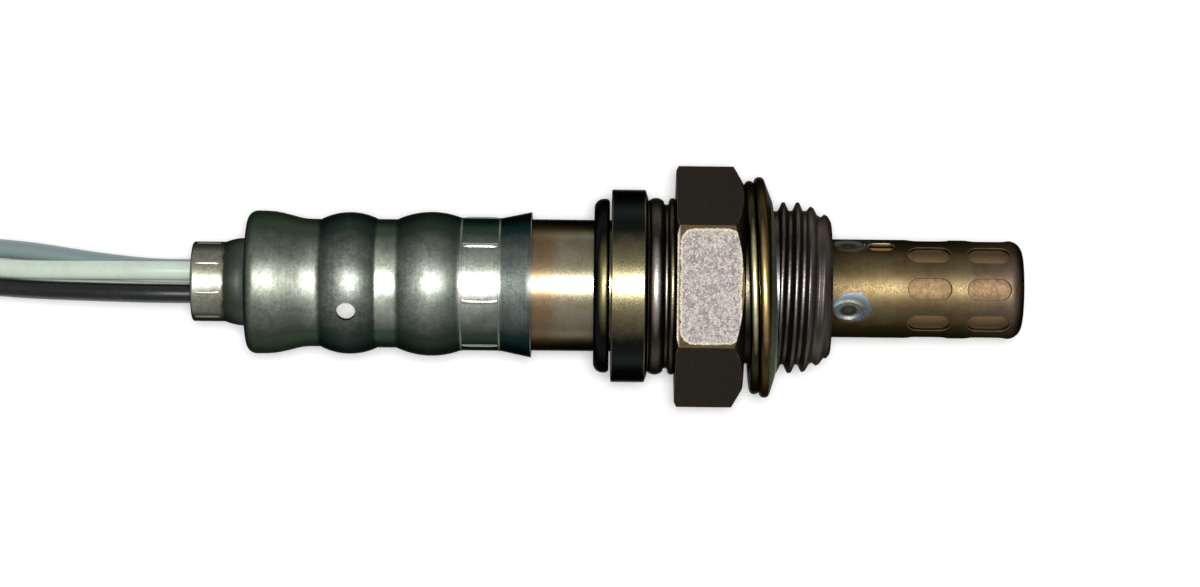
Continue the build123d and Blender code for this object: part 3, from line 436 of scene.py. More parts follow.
flatPatchAndShade = {
    "patch": {"Middle": -7.15 * mm, "Half_Length": 3.25 * mm, "Half_Width": 6.05 * mm, "Corner": 1.6 * mm},
    "stops": [(0.0, (0.32, 0.30, 0.25), 0.0), (0.78, (0.32, 0.30, 0.25), 0.0),
              (0.86, (0.31, 0.29, 0.21), 0.6), (0.94, (0.27, 0.24, 0.16), 0.6),
              (0.98, (0.042, 0.028, 0.015), 1.0)],
    "rear": (-10.6 * mm, -10.3 * mm), "front": (-3.9 * mm, -3.4 * mm), "slantedFlatShade": (0.052, 0.044, 0.034)}


def makeHousingSteel():
    # On the hexagon each flat keeps a worn patch with a pale rim round it; beyond the rim is dark brown
    # painted shade where the corners round off, and the flats that slant away are painted dark all over
    material, tree, shader, base = wornMetal("housingSteel", housingFinish)
    patch = placeGroup(tree, patchOnFlats, **flatPatchAndShade["patch"])
    wobble = calc("MULTIPLY_ADD", noiseOf(tree, 1800.0), 0.24, -0.12)
    ramp = bandRamp(calc("ADD", patch["Reach"], wobble), flatPatchAndShade["stops"])
    along = splitOf(objectPlace(tree))["X"]
    begins = spread(along, *flatPatchAndShade["rear"])
    ends = spread(along, *flatPatchAndShade["front"], 1.0, 0.0)
    share = times(times(begins, ends), ramp["Alpha"])
    # Painted shade: the flats that slant away take a dark colour outside their worn patch
    flankShadeMask = placeGroup(tree, paintedFlankShade, Bright=0.995, Dark=0.8, Raggedness=0.0, Size=1.2 * mm)
    rim = mixColours(flankShadeMask["Mask"], ramp["Color"], flatPatchAndShade["slantedFlatShade"])
    feed(shader["Base Color"], mixColours(share, base, rim))
    return material


# The gasket's bands along the axis are painted light: the pale golden rear bead and the pale yellow-green
# front rim are painted highlights, with an orange band and a grey-green face between them
gasketFinishAndPaintedLight = {"stretches": [
    (-3.8, (0.95, 0.86, 0.48), (0.036, 0.036, 0.022), 0.34, 0.1),
    (-2.2, (0.95, 0.84, 0.46), (0.038, 0.036, 0.022), 0.34, 0.1),
    (-1.9, (0.72, 0.46, 0.17), (0.060, 0.044, 0.020), 0.36, 0.1),
    (-1.0, (0.70, 0.50, 0.22), (0.060, 0.050, 0.024), 0.36, 0.1),
    (-0.85, (0.44, 0.48, 0.36), (0.16, 0.18, 0.14), 0.46, 0.2),
    (-0.4, (0.46, 0.50, 0.36), (0.17, 0.20, 0.15), 0.46, 0.2),
    (-0.25, (0.95, 0.95, 0.60), (0.44, 0.48, 0.30), 0.42, 0.1),
    (0.1, (0.95, 0.95, 0.60), (0.44, 0.48, 0.30), 0.42, 0.1)],
    "ragged": 0.15, "stainSize": 1.4, "stain": (0.75, 0.72, 0.6), "stainShare": 0.4,
    "flank": (1.0, 0.74, 0.07), "markPitch": 0.16, "markDepth": 0.4, "streak": 0.15,
    "speckle": (0.1, 0.1, 0.06), "grainDepth": 0.3, "roughSpread": 0.04,
    "rub": (0.5, 0.5, 0.3), "rubShare": 0.3}

coverFinish = {"stretches": [
    (4.4, (0.14, 0.115, 0.060), (0.026, 0.022, 0.011), 0.50, 0.1),
    (6.2, (0.15, 0.117, 0.055), (0.030, 0.025, 0.012), 0.50, 0.15),
    (9.0, (0.24, 0.185, 0.088), (0.030, 0.025, 0.012), 0.49, 0.15),
    (12.0, (0.26, 0.195, 0.10), (0.030, 0.025, 0.012), 0.49, 0.1),
    (15.5, (0.19, 0.138, 0.068), (0.030, 0.024, 0.013), 0.49, 0.2),
    (19.0, (0.25, 0.19, 0.098), (0.034, 0.028, 0.016), 0.48, 0.2),
    (22.5, (0.22, 0.165, 0.110), (0.048, 0.038, 0.025), 0.5, 0.2),
    (24.6, (0.26, 0.19, 0.135), (0.050, 0.038, 0.026), 0.5, 0.2),
    (25.3, (0.07, 0.055, 0.045), (0.020, 0.018, 0.015), 0.5, 0.2),
    (26.0, (0.07, 0.06, 0.05), (0.020, 0.018, 0.015), 0.5, 0.2)],
    "ragged": 0.5, "stainSize": 2.0, "stain": (0.74, 0.64, 0.56), "stainShare": 0.7,
    "flank": (1.0, 0.6, 0.08), "markPitch": 0.16, "markDepth": 0.35, "streak": 0.12,
    "speckle": (0.12, 0.09, 0.05), "grainDepth": 0.4, "roughSpread": 0.05,
    "rub": (0.62, 0.48, 0.28), "rubShare": 0.55}

innerCoverFinishAndHighlight = {"stretches": [
    (4.0, (0.95, 0.58, 0.28), (0.95, 0.55, 0.24), 0.6, 0.1),
    (12.5, (0.95, 0.58, 0.28), (0.95, 0.55, 0.24), 0.6, 0.1),
    (14.0, (0.40, 0.275, 0.14), (0.21, 0.138, 0.062), 0.55, 0.5),
    (25.0, (0.40, 0.26, 0.15), (0.21, 0.135, 0.070), 0.55, 0.5)],
    "ragged": 0.5, "stainSize": 1.6, "stain": (0.8, 0.7, 0.6), "stainShare": 0.6,
    "flank": (0.95, 0.6, 0.05), "markPitch": 0.2, "markDepth": 0.4, "streak": 0.15,
    "speckle": (0.12, 0.09, 0.05), "grainDepth": 0.4, "roughSpread": 0.05,
    "rub": (0.5, 0.4, 0.22), "rubShare": 0.0}


def makeInnerCoverSteel():
    # Under the ports the cover is golden scale, painted bright and nearly matt as a painted highlight;
    # under the slots it is duller metal
    material, tree, shader, base = wornMetal("innerCoverSteel", innerCoverFinishAndHighlight)
    along = splitOf(objectPlace(tree))["X"]
    feed(shader["Metallic"], spread(along, 12.4 * mm, 13.4 * mm, 0.1, 0.5))
    return material


# Each tint has its place round a weld, its colours outwards, and from where to where it fades sideways
heatTints = [
    {"weld": {"Place": 7.75 * mm, "Turn": -radians(22.5), "Length": 2.1 * mm, "Width": 1.62 * mm},
     "stops": [(0.0, (0.10, 0.13, 0.13), 0.5), (0.30, (0.13, 0.18, 0.20), 0.55),
               (0.40, (0.13, 0.22, 0.31), 0.75), (0.45, (0.17, 0.29, 0.38), 0.7),
               (0.49, (0.22, 0.14, 0.15), 0.45), (0.54, (0.36, 0.19, 0.07), 0.3),
               (0.60, (0.3, 0.2, 0.1), 0.0)],
     "fade": (0.0, 1.5 * mm, 1.0, 0.2)},
    {"weld": {"Place": 7.35 * mm, "Turn": -radians(28.0), "Length": 1.5 * mm, "Width": 1.0 * mm},
     "stops": [(0.0, (0.10, 0.085, 0.05), 0.8), (0.24, (0.045, 0.045, 0.035), 0.95),
               (0.35, (0.20, 0.22, 0.19), 1.0), (0.46, (0.24, 0.26, 0.24), 0.9),
               (0.52, (0.10, 0.14, 0.15), 0.0)],
     "fade": (0.5 * mm, 2.0 * mm, 1.0, 0.3)}]


def makeCoverSteel():
    # The tip cover also shows a blue halo, strong at one weld only, and a bright ring round each weld
    material, tree, shader, base = wornMetal("coverSteel", coverFinish)
    side = splitOf(objectPlace(tree))["Y"]
    for tint in heatTints:
        ramp = bandRamp(placeGroup(tree, weldDistance, **tint["weld"])["Reach"], tint["stops"])
        share = times(ramp["Alpha"], spread(side, *tint["fade"]))
        base = mixColours(share, base, ramp["Color"])
    feed(shader["Base Color"], base)
    return material


def makePlain(name, colour, roughness, metallic=0.0, darkening=0.85, depth=0.01 * mm):
    material, tree, shader = newMaterial(name, Metallic=metallic, Roughness=roughness)
    stains = placeGroup(tree, blotches, Size=1.5 * mm, Low=0.35, High=0.65)
    darker = tuple(part * darkening for part in colour)
    feed(shader["Base Color"], mixColours(stains["Mask"], colour, darker))
    addBump(shader, stains["Speckle"], depth)
    return material


def makeWireCover(name, colour, dust):
    # Glossy insulation with a little dust and fine scuffs along the wire
    material, tree, shader = newMaterial(name, Coat_Weight=0.1, Coat_Roughness=0.2)
    stains = placeGroup(tree, blotches, Size=2.2 * mm, Low=0.45, High=0.7)
    specks = placeGroup(tree, pits, Spacing=0.5 * mm, Width=0.2)
    for mask, strength in ((stains["Mask"], 0.35), (specks["Mask"], 0.4)):
        colour = mixColours(times(mask, strength), colour, dust)
    feedAll(shader, Base_Color=colour,
            Roughness=spread(stains["Speckle"], 0.3, 0.7, 0.28, 0.42))
    addBump(shader, stains["Speckle"], 0.006 * mm)
    return material


braidLook = {"Around": 14.0, "Along": 300.0, "gap": (0.004, 0.004, 0.004), "strand": (0.055, 0.055, 0.056),
             "dust": (0.10, 0.095, 0.085), "dustShare": 0.3, "depth": 0.28 * mm}


def makeBraid():
    # Woven sleeve: the strands cross over and under along the sleeve's own UV map
    material, tree, shader = newMaterial("loomBraid", Roughness=0.55, Sheen_Weight=0.15)
    weave = placeGroup(tree, braid, Around=braidLook["Around"], Along=braidLook["Along"])["Height"]
    stains = placeGroup(tree, blotches, Size=4 * mm, Low=0.4, High=0.7)
    woven = mixColours(weave, braidLook["gap"], braidLook["strand"])
    share = times(stains["Mask"], braidLook["dustShare"])
    feed(shader["Base Color"], mixColours(share, woven, braidLook["dust"]))
    addBump(shader, weave, braidLook["depth"])
    return material


def makeMouldedPlastic(name, colour, roughness, grain=0.14 * mm):
    # Spark-eroded mould grain, paler where the corners are rubbed
    material, tree, shader = newMaterial(name)
    stains = placeGroup(tree, blotches, Size=5 * mm, Low=0.4, High=0.65)
    cells = placeGroup(tree, grainCells, Size=grain)
    paler = tuple(min(1.0, part * 1.5 + 0.03) for part in colour)
    shaded = mixColours(stains["Mask"], colour, tuple(part * 0.8 for part in colour))
    feedAll(shader, Base_Color=mixColours(rubbedShare(tree, 0.35), shaded, paler),
            Roughness=spread(stains["Speckle"], 0.3, 0.7, roughness - 0.06, roughness + 0.06))
    addBump(shader, cells["Height"], 0.02 * mm)
    return material


plainMetal = {"metallic": 1.0, "darkening": 0.75, "depth": 0.004 * mm}

slotMaterials = {
    "sleeve_steel": wornMetal("sleeveSteel", sleeveFinishAndPaintedLight)[0],
    "tube_steel": wornMetal("tubeSteel", tubeFinishAndShade)[0],
    "ring_steel": wornMetal("ringSteel", ringFinish)[0],
    "housing_steel": makeHousingSteel(),
    "gasket_steel": wornMetal("gasketSteel", gasketFinishAndPaintedLight)[0],
    "cover_steel": makeCoverSteel(),
    "inner_cover_steel": makeInnerCoverSteel(),
    "contact_metal": makePlain("contactMetal", (0.6, 0.59, 0.56), 0.35, **plainMetal),
    "terminal_brass": makePlain("terminalTin", (0.7, 0.66, 0.55), 0.35, **plainMetal),
    "zirconia": makePlain("zirconia", (0.85, 0.83, 0.78), 0.6),
    "alumina": makePlain("alumina", (0.9, 0.89, 0.86), 0.55),
    "talc": makePlain("talc", (0.8, 0.8, 0.76), 0.9),
    "filter_white": makePlain("filterWhite", (0.92, 0.92, 0.9), 0.8),
    "grommet_rubber": makePlain("grommetRubber", (0.05, 0.05, 0.05), 0.65),
    "wire_white": makeWireCover("wireWhite", (0.60, 0.70, 0.60), (0.46, 0.52, 0.42)),
    "wire_black": makeWireCover("wireBlack", (0.006, 0.008, 0.008), (0.03, 0.034, 0.03)),
    "wire_grey": makeWireCover("wireGrey", (0.20, 0.27, 0.27), (0.26, 0.30, 0.26)),
    "loom_braid": makeBraid(),
    "tie_nylon": makeMouldedPlastic("tieNylon", (0.05, 0.05, 0.05), 0.45, 0.3 * mm),
    "connector_plastic": makeMouldedPlastic("connectorPlastic", (0.055, 0.055, 0.06), 0.5, 0.3 * mm),
    "seal_rubber": makePlain("sealRubber", (0.55, 0.2, 0.1), 0.5),
    "retainer_plastic": makeMouldedPlastic("retainerPlastic", (0.75, 0.75, 0.7), 0.5),
}
slotOfNode = {row["node"]: row["material_slot"] for row in frame["record"]["subparts"]}
print("materials made:", len(slotMaterials))


# Mesh helpers

def mergeCorners(bm, distance=0.001 * mm):
    bmesh.ops.remove_doubles(bm, verts=bm.verts, dist=distance)


def copyOfNode(nodeName):
    # A copy of a solid with its corners merged and its flat faces whole
    bm = bmesh.new()
    bm.from_mesh(frame["nodes"][nodeName].data)
    mergeCorners(bm)
    bmesh.ops.dissolve_limit(bm, angle_limit=radians(0.4), use_dissolve_boundaries=False,
                             verts=bm.verts, edges=bm.edges)
    return bm


def meshOf(bm, name):
    mesh = bpy.data.meshes.new(name)
    bm.to_mesh(mesh)
    bm.free()
    return mesh


def newObject(name, data):
    made = bpy.data.objects.new(name, data)
    bpy.context.scene.collection.objects.link(made)
    return made


def addShape(bm, other):
    # Adds another mesh and drops it
    mesh = meshOf(other, "added")
    bm.from_mesh(mesh)
    bpy.data.meshes.remove(mesh)


def radiusOf(vert):
    return hypot(vert.co.y, vert.co.z)


def stretchOut(vert, scale):
    # Moves a corner out from the axis or in towards it
    vert.co.y *= scale
    vert.co.z *= scale


def roundOut(bm, skip=None):
    # Splits the short chords round the axis and moves the new corners out to the true circle
    chords = []
    radiiAt = {}
    for edge in bm.edges:
        a, b = edge.verts
        radius = radiusOf(a)
        if abs(a.co.x - b.co.x) > 2e-6 or abs(radius - radiusOf(b)) > 2e-6 or radius < 3 * mm:
            continue
        if skip and skip[0] < a.co.x < skip[1]:
            continue
        span = 2 * asin(min(1.0, edge.calc_length() / (2 * radius)))
        if span < radians(16.0) and edge.calc_length() > 0.5 * mm:
            chords.append(edge)
            radiiAt.setdefault(round(a.co.x, 5), []).append(radius)
    known = set(vert.co.to_tuple(7) for vert in bm.verts)
    bmesh.ops.subdivide_edges(bm, edges=chords, cuts=2, use_grid_fill=True)
    for vert in bm.verts:
        radius = radiusOf(vert)
        near = [value for value in radiiAt.get(round(vert.co.x, 5), []) if radius < value < 1.012 * radius]
        if near and vert.co.to_tuple(7) not in known:
            stretchOut(vert, min(near) / radius)


def sharpEdges(bm, angle, low=-1.0, high=1.0):
    # The edges sharper than the angle whose middle lies between two places along the axis
    chosen = []
    for edge in bm.edges:
        middle = (edge.verts[0].co.x + edge.verts[1].co.x) / 2
        if len(edge.link_faces) == 2 and low <= middle <= high:
            if edge.calc_face_angle(0.0) >= radians(angle):
                chosen.append(edge)
    return chosen


def roundEdges(bm, edges, width, segments=2):
    # Rounds the edges and marks the new faces, so that their finish shows the rubbing
    worn = bm.faces.layers.float.get("worn") or bm.faces.layers.float.new("worn")
    made = bmesh.ops.bevel(bm, geom=edges, offset=width, offset_type="OFFSET", segments=segments,
                           profile=0.5, affect="EDGES", clamp_overlap=True, material=-1)
    for face in made["faces"]:
        face[worn] = 1.0


def spinRound(bm, steps):
    # Spins all there is once round the axis and closes the seam
    bmesh.ops.spin(bm, geom=bm.verts[:] + bm.edges[:], cent=(0, 0, 0), axis=(1, 0, 0), angle=2 * pi,
                   steps=steps, use_merge=True, use_duplicate=False)
    mergeCorners(bm)
    bmesh.ops.recalc_face_normals(bm, faces=bm.faces)


def turnedShape(outline, steps):
    # A closed outline of (place along the axis, radius) in mm, spun round the axis
    bm = bmesh.new()
    corners = [bm.verts.new((x * mm, 0.0, radius * mm)) for x, radius in outline]
    for pair in zip(corners, corners[1:] + corners[:1]):
        bm.edges.new(pair)
    spinRound(bm, steps)
    return bm


def cutAtPlane(bm, x, normal, outer=True, inner=False):
    # Cuts everything at a plane through the axis and clears the outer side, the inner one or both
    bmesh.ops.bisect_plane(bm, geom=bm.verts[:] + bm.edges[:] + bm.faces[:], dist=1e-7, plane_co=(x, 0, 0),
                           plane_no=normal, clear_outer=outer, clear_inner=inner)


def settle(piece, nodeName):
    # The piece stands for the node, takes its material and rides on the root
    piece.data.materials.clear()
    piece.data.materials.append(slotMaterials[slotOfNode[nodeName]])
    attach(piece, "root")
    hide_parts(nodeName)


def finishPiece(bm, name, nodeName, smoothAngle=32.0):
    mesh = meshOf(bm, name)
    mesh.shade_smooth()
    mesh.set_sharp_from_angle(angle=radians(smoothAngle))
    piece = newObject(name, mesh)
    evened = piece.modifiers.new("evenShading", "WEIGHTED_NORMAL")
    evened.keep_sharp = True
    evened.mode = "FACE_AREA_WITH_ANGLE"
    settle(piece, nodeName)
    return piece


def cutAway(bm, cutter):
    # Takes the cutter's shape out of the mesh
    bmesh.ops.recalc_face_normals(cutter, faces=cutter.faces)
    made = [newObject("toCut", meshOf(bm, "toCut")), newObject("cutter", meshOf(cutter, "cutter"))]
    modifier = made[0].modifiers.new("cut", "BOOLEAN")
    modifier.operation = "DIFFERENCE"
    modifier.solver = "EXACT"
    modifier.object = made[1]
    graph = bpy.context.evaluated_depsgraph_get()
    result = bpy.data.meshes.new_from_object(made[0].evaluated_get(graph))
    whole = bmesh.new()
    whole.from_mesh(result)
    for holder in made:
        mesh = holder.data
        bpy.data.objects.remove(holder)
        bpy.data.meshes.remove(mesh)
    bpy.data.meshes.remove(result)
    return whole


def addStadium(bm, x, turn, length, width, levels):
    # One round-ended peg that points outwards; levels are (radius, how much wider it is there)
    shift = (length - width) / 2 * mm
    ring = bmesh.ops.create_circle(bm, cap_ends=True, segments=32, radius=width / 2 * mm)["verts"]
    for vert in ring:
        vert.co.x += copysign(shift, vert.co.x) if abs(vert.co.x) > 1e-7 else 0.0
        vert.co.z = levels[0][0] * mm
    whole = list(ring)
    face = next(face for face in bm.faces if all(vert in ring for vert in face.verts))
    for (low, narrow), (high, wide) in zip(levels, levels[1:]):
        under = face
        grown = bmesh.ops.extrude_face_region(bm, geom=[face])["geom"]
        if low > levels[0][0]:
            bmesh.ops.delete(bm, geom=[under], context="FACES_ONLY")
        top = [item for item in grown if isinstance(item, bmesh.types.BMVert)]
        face = next(item for item in grown if isinstance(item, bmesh.types.BMFace))
        for vert in top:
            end = copysign(shift, vert.co.x) if abs(vert.co.x) > 1e-7 else 0.0
            out = Vector((vert.co.x - end, vert.co.y, 0.0))
            vert.co += out.normalized() * (wide - narrow) * mm
            vert.co.z = high * mm
        whole += top
    bmesh.ops.rotate(bm, verts=whole, cent=(0, 0, 0), matrix=Matrix.Rotation(radians(turn), 3, "X"))
    bmesh.ops.translate(bm, verts=whole, vec=(x * mm, 0, 0))


def camelName(nodeName, ending):
    first, *others = nodeName.split("_")
    return first + "".join(word.capitalize() for word in others) + ending


# Camera: straight above the sensor, rolled a little as the photograph is

view = {"centre": (-18.585 * mm, -0.83 * mm), "height": 450 * mm, "width": 126.36 * mm, "roll": 0.63,
        "sensor": 36.0}


def makeCamera():
    camera = bpy.data.cameras.new("camera")
    camera.sensor_width = view["sensor"]
    camera.lens = view["sensor"] * view["height"] / view["width"]
    camera.clip_start = 0.01
    holder = newObject("camera", camera)
    holder.location = (*view["centre"], view["height"])
    holder.rotation_euler = (0.0, 0.0, radians(view["roll"]))
    bpy.context.scene.camera = holder


makeCamera()


# Lead: four wires into a braided loom, one flat loop, then the connector

lead = {
    "wireRadius": 1.0 * mm,
    "loomRadius": 2.8 * mm,
    "exitX": -61.1 * mm,
    "straightX": (-51.79, -60.0, -68.0),
    # Each wire has its bore in the grommet, then the points it passes beyond the straight part
    "wires": {
        "white_wire_1": [(1.047, 1.340), (-84.0, 1.01, -1.9), (-93.1, 2.16, -3.7)],
        "black_wire": [(-1.340, 1.047), (-84.0, -0.92, -2.65), (-93.3, 0.39, -4.76)],
        "white_wire_2": [(-1.047, -1.340), (-84.0, 0.22, -4.4), (-92.85, 1.44, -6.5)],
        "grey_wire": [(1.340, -1.047), (-84.0, 3.79, -3.2), (-92.5, 3.2, -5.46)]},
    "loom": [(-93.2, 1.8, -5.1), (-104.0, 3.9, -6.6), (-118.0, 5.6, -7.6), (-142.0, 5.0, -8.2),
             (-172.0, 5.9, -8.2), (-205.0, 5.4, -8.2), (-217.8, -7.4, -8.2), (-217.8, -25.4, -8.2),
             (-205.0, -38.2, -8.2), (-176.0, -38.9, -8.2), (-150.0, -37.7, -8.2),
             (-128.0, -38.6, -8.2), (-104.2, -38.2, -8.2), (-93.2, -27.2, -8.2),
             (-93.2, -11.6, -8.2), (-104.2, -0.7, -7.4), (-120.0, -0.4, -6.9),
             (-134.5, -11.3, -6.6), (-149.5, -18.0, -4.75), (-163.0, -18.0, -4.75)]}


def makeRoute(name, nodeName, points, radius):
    # A smooth round cord with the route's points as its control points
    curve = bpy.data.curves.new(name, "CURVE")
    curve.dimensions = "3D"
    curve.resolution_u = 16
    curve.bevel_depth = radius
    curve.bevel_resolution = 6
    curve.use_fill_caps = True
    spline = curve.splines.new("NURBS")
    spline.points.add(len(points) - 1)
    for point, place in zip(spline.points, points):
        point.co = (*(Vector(place) * mm), 1.0)
    spline.use_endpoint_u = True
    spline.order_u = 3
    cord = newObject(name, curve)
    settle(cord, nodeName)
    return cord


mouldedEdges = {"connector_boot": 0.3 * mm, "connector_body": 0.22 * mm, "connector_retainer": 0.08 * mm,
                "cable_tie": 0.12 * mm}
carriedNodes = ["connector_seal", "terminal_1", "terminal_2", "terminal_3", "terminal_4"]


def makeMouldedPieces():
    # The connector's plastic and rubber pieces with rounded corners
    made = []
    for nodeName, width in mouldedEdges.items():
        bm = copyOfNode(nodeName)
        roundEdges(bm, sharpEdges(bm, 40.0), width)
        made.append(finishPiece(bm, camelName(nodeName, "Moulded"), nodeName))
    return made


def makeLead():
    for name, (bore, *beyond) in lead["wires"].items():
        points = [(x, *bore) for x in lead["straightX"]] + beyond
        wire = makeRoute(name.replace("_", "") + "Cord", name, points, lead["wireRadius"])
    loom = makeRoute("loomSleeve", "loom", lead["loom"], lead["loomRadius"])
    carried = makeMouldedPieces() + [frame["nodes"][name] for name in carriedNodes]


makeLead()
print("lead made")


# Light, table and surroundings

studio = {"lampPlace": (-8.585 * mm, 12 * mm, 620 * mm), "lampSize": 110 * mm, "lampPower": 2.9,
          "world": 0.32, "tableColour": (0.9, 0.9, 0.9), "tableGlow": 0.2, "tableSize": 1.6}


def makeStudio():
    scene = bpy.context.scene
    scene.view_settings.view_transform = "Standard"
    world = bpy.data.worlds.new("surroundings")
    world.use_nodes = True
    feedAll(world.node_tree.nodes["Background"].inputs, Color=white, Strength=studio["world"])
    scene.world = world
    lamp = bpy.data.lights.new("lamp", "AREA")
    lamp.shape = "DISK"
    lamp.size = studio["lampSize"]
    lamp.energy = studio["lampPower"]
    newObject("lamp", lamp).location = studio["lampPlace"]


def makeTable():
    bm = bmesh.new()
    bmesh.ops.create_grid(bm, x_segments=1, y_segments=1, size=studio["tableSize"] / 2)
    bmesh.ops.translate(bm, verts=bm.verts, vec=(view["centre"][0], 0.0, solidBox[0][2]))
    table = newObject("table", meshOf(bm, "table"))
    material, tree, shader = newMaterial("tablePaper", Roughness=0.9, Specular_IOR_Level=0.0,
                                         Base_Color=studio["tableColour"], Emission_Color=white)
    rays = addNode(tree, "LightPath").outputs
    seen = calc("MAXIMUM", rays["Is Camera Ray"], rays["Is Glossy Ray"])
    seen = calc("MAXIMUM", seen, rays["Is Transmission Ray"])
    feed(shader["Emission Strength"], times(seen, studio["tableGlow"]))
    table.data.materials.append(material)


makeStudio()
makeTable()
print("table and light made")


# Metal pieces

thread = {"end": 5.58 * mm, "pitch": 1.5 * mm, "crest": 9.0 * mm, "root": 8.1 * mm, "soft": 0.06 * mm,
          "crestWidth": 0.26 * mm, "rootWidth": 0.3 * mm, "fullEnd": 2.3 * mm, "taperEnd": 5.28 * mm,
          "taperRadius": 7.55 * mm, "noseRadius": 7.0 * mm, "startRadius": 8.05 * mm,
          "leastDepth": 0.55 * mm, "stepsPerTurn": 120, "turnCount": 7, "turn": 234.0,
          "bores": [(5.58, 5.19), (4.9, 5.19), (4.9, 6.23), (4.1, 6.23), (4.1, 4.2), (0.0, 4.2)]}


def threadLimit(x):
    # The cone that the thread's crests are cut back to near the nose
    crest, taper, nose = thread["crest"], thread["taperRadius"], thread["noseRadius"]
    fullEnd, taperEnd = thread["fullEnd"], thread["taperEnd"]
    if x <= fullEnd:
        return crest
    if x <= taperEnd:
        return crest + (taper - crest) * ((x - fullEnd) / (taperEnd - fullEnd)) ** 1.3
    return taper + (nose - taper) * min(1.0, (x - taperEnd) / (thread["end"] - taperEnd))


def makeThread():
    # One pitch of the profile, swept round and along, then trimmed to the thread's stretch
    bm = bmesh.new()
    pitch, crest, root, soft = (thread[key] for key in ("pitch", "crest", "root", "soft"))
    low = thread["rootWidth"] / 2
    high = (pitch - thread["crestWidth"]) / 2
    rising = [(0.0, root), (low, root), (low + soft, root + soft), (high - soft, crest - 1.2 * soft),
              (high, crest - 0.3 * soft)]
    outline = rising + [(pitch / 2, crest)] + [(pitch - x, radius) for x, radius in reversed(rising)]
    corners = [bm.verts.new((x - 2 * pitch, 0.0, radius)) for x, radius in outline]
    edges = [bm.edges.new(pair) for pair in zip(corners, corners[1:])]
    turned = Matrix.Rotation(radians(thread["turn"]), 3, "X")
    bmesh.ops.rotate(bm, verts=bm.verts, cent=(0, 0, 0), matrix=turned)
    bmesh.ops.spin(bm, geom=corners + edges, cent=(0, 0, 0), axis=(1, 0, 0),
                   dvec=(pitch / thread["stepsPerTurn"], 0, 0), angle=-2 * pi * thread["turnCount"],
                   steps=thread["turnCount"] * thread["stepsPerTurn"], use_merge=False, use_duplicate=False)
    mergeCorners(bm, 0.002 * mm)
    cutAtPlane(bm, 0.0, (-1, 0, 0))
    cutAtPlane(bm, thread["taperEnd"], (1, 0, 0), outer=False)
    cutAtPlane(bm, thread["end"], (1, 0, 0))
    for vert in bm.verts:
        radius = radiusOf(vert)
        limit = threadLimit(vert.co.x)
        depth = thread["leastDepth"] * min(1.0, (thread["end"] - vert.co.x) / mm)
        newRoot = min(root, limit - depth)
        share = (radius - root) / (crest - root)
        stretchOut(vert, (newRoot + share * (limit - newRoot)) / radius)
    mergeCorners(bm)
    return bm


def boundaryAt(bm, x):
    return [edge for edge in bm.edges
            if edge.is_boundary and all(abs(vert.co.x - x) < 1e-6 for vert in edge.verts)]


def growRim(bm, rim, x, radius):
    # A new band of faces from the rim to a circle at x; returns the circle's edges
    grown = bmesh.ops.extrude_edge_only(bm, edges=rim)["geom"]
    for item in grown:
        if isinstance(item, bmesh.types.BMVert):
            stretchOut(item, radius / radiusOf(item))
            item.co.x = x
    return [item for item in grown if isinstance(item, bmesh.types.BMEdge)]


def closeThread(bm):
    # The nose's face, then the stepped bore behind it, back to the thread's start
    rim = boundaryAt(bm, thread["end"])
    for x, radius in thread["bores"]:
        rim = growRim(bm, rim, x * mm, radius * mm)
    outer = [edge for edge in boundaryAt(bm, 0.0) if edge not in rim]
    growRim(bm, outer, 0.0, thread["startRadius"])
    mergeCorners(bm)


hexagon = {"rear": -10.75 * mm, "front": -3.5 * mm, "edge": 0.36 * mm, "bodyEnd": -0.02 * mm,
           "collar": (-18 * mm, -13.4 * mm), "collarEdge": 0.14 * mm}


def makeHousing():
    bm = copyOfNode("housing")
    cutAtPlane(bm, hexagon["bodyEnd"], (1, 0, 0))
    roundOut(bm, (hexagon["rear"], hexagon["front"]))
    roundEdges(bm, sharpEdges(bm, 40.0, hexagon["rear"], hexagon["front"]), hexagon["edge"], 4)
    roundEdges(bm, sharpEdges(bm, 50.0, *hexagon["collar"]), hexagon["collarEdge"], 3)
    joined = makeThread()
    closeThread(joined)
    addShape(joined, bm)
    bmesh.ops.recalc_face_normals(joined, faces=joined.faces)
    finishPiece(joined, "housingWithThread", "housing", 38.0)


tipCover = {"flangeRear": 4.5, "flangeRadius": 6.2, "flangeFillet": 0.12, "wall": 0.4, "radius": 5.16,
            "end": 25.94, "corner": 1.5, "dome": 0.2, "steps": 240, "rings": (11.0, 13.2, 16.0, 19.0, 22.0),
            "slot": (4.46, 2.23), "slotPlaces": (15.8, 22.0), "slotCount": 8, "slotFlare": 0.2,
            "cutLevels": (-1.4, -0.2, 0.3), "rubbed": (9 * mm, 24.5 * mm), "rubbedFacing": (0.1, 0.94),
            "port": (2.7, 1.4), "portPlace": 10.8, "portTurns": (-59.0, 121.0)}
weld = {"place": 7.35, "turn": 28.0, "count": 4, "length": 1.5, "width": 1.0, "depth": 0.2,
        "hollow": 0.86, "rim": 0.1, "rimPlace": 1.02, "rimWidth": 0.14,
        "rings": [5.7 + 0.1 * step for step in range(38)]}


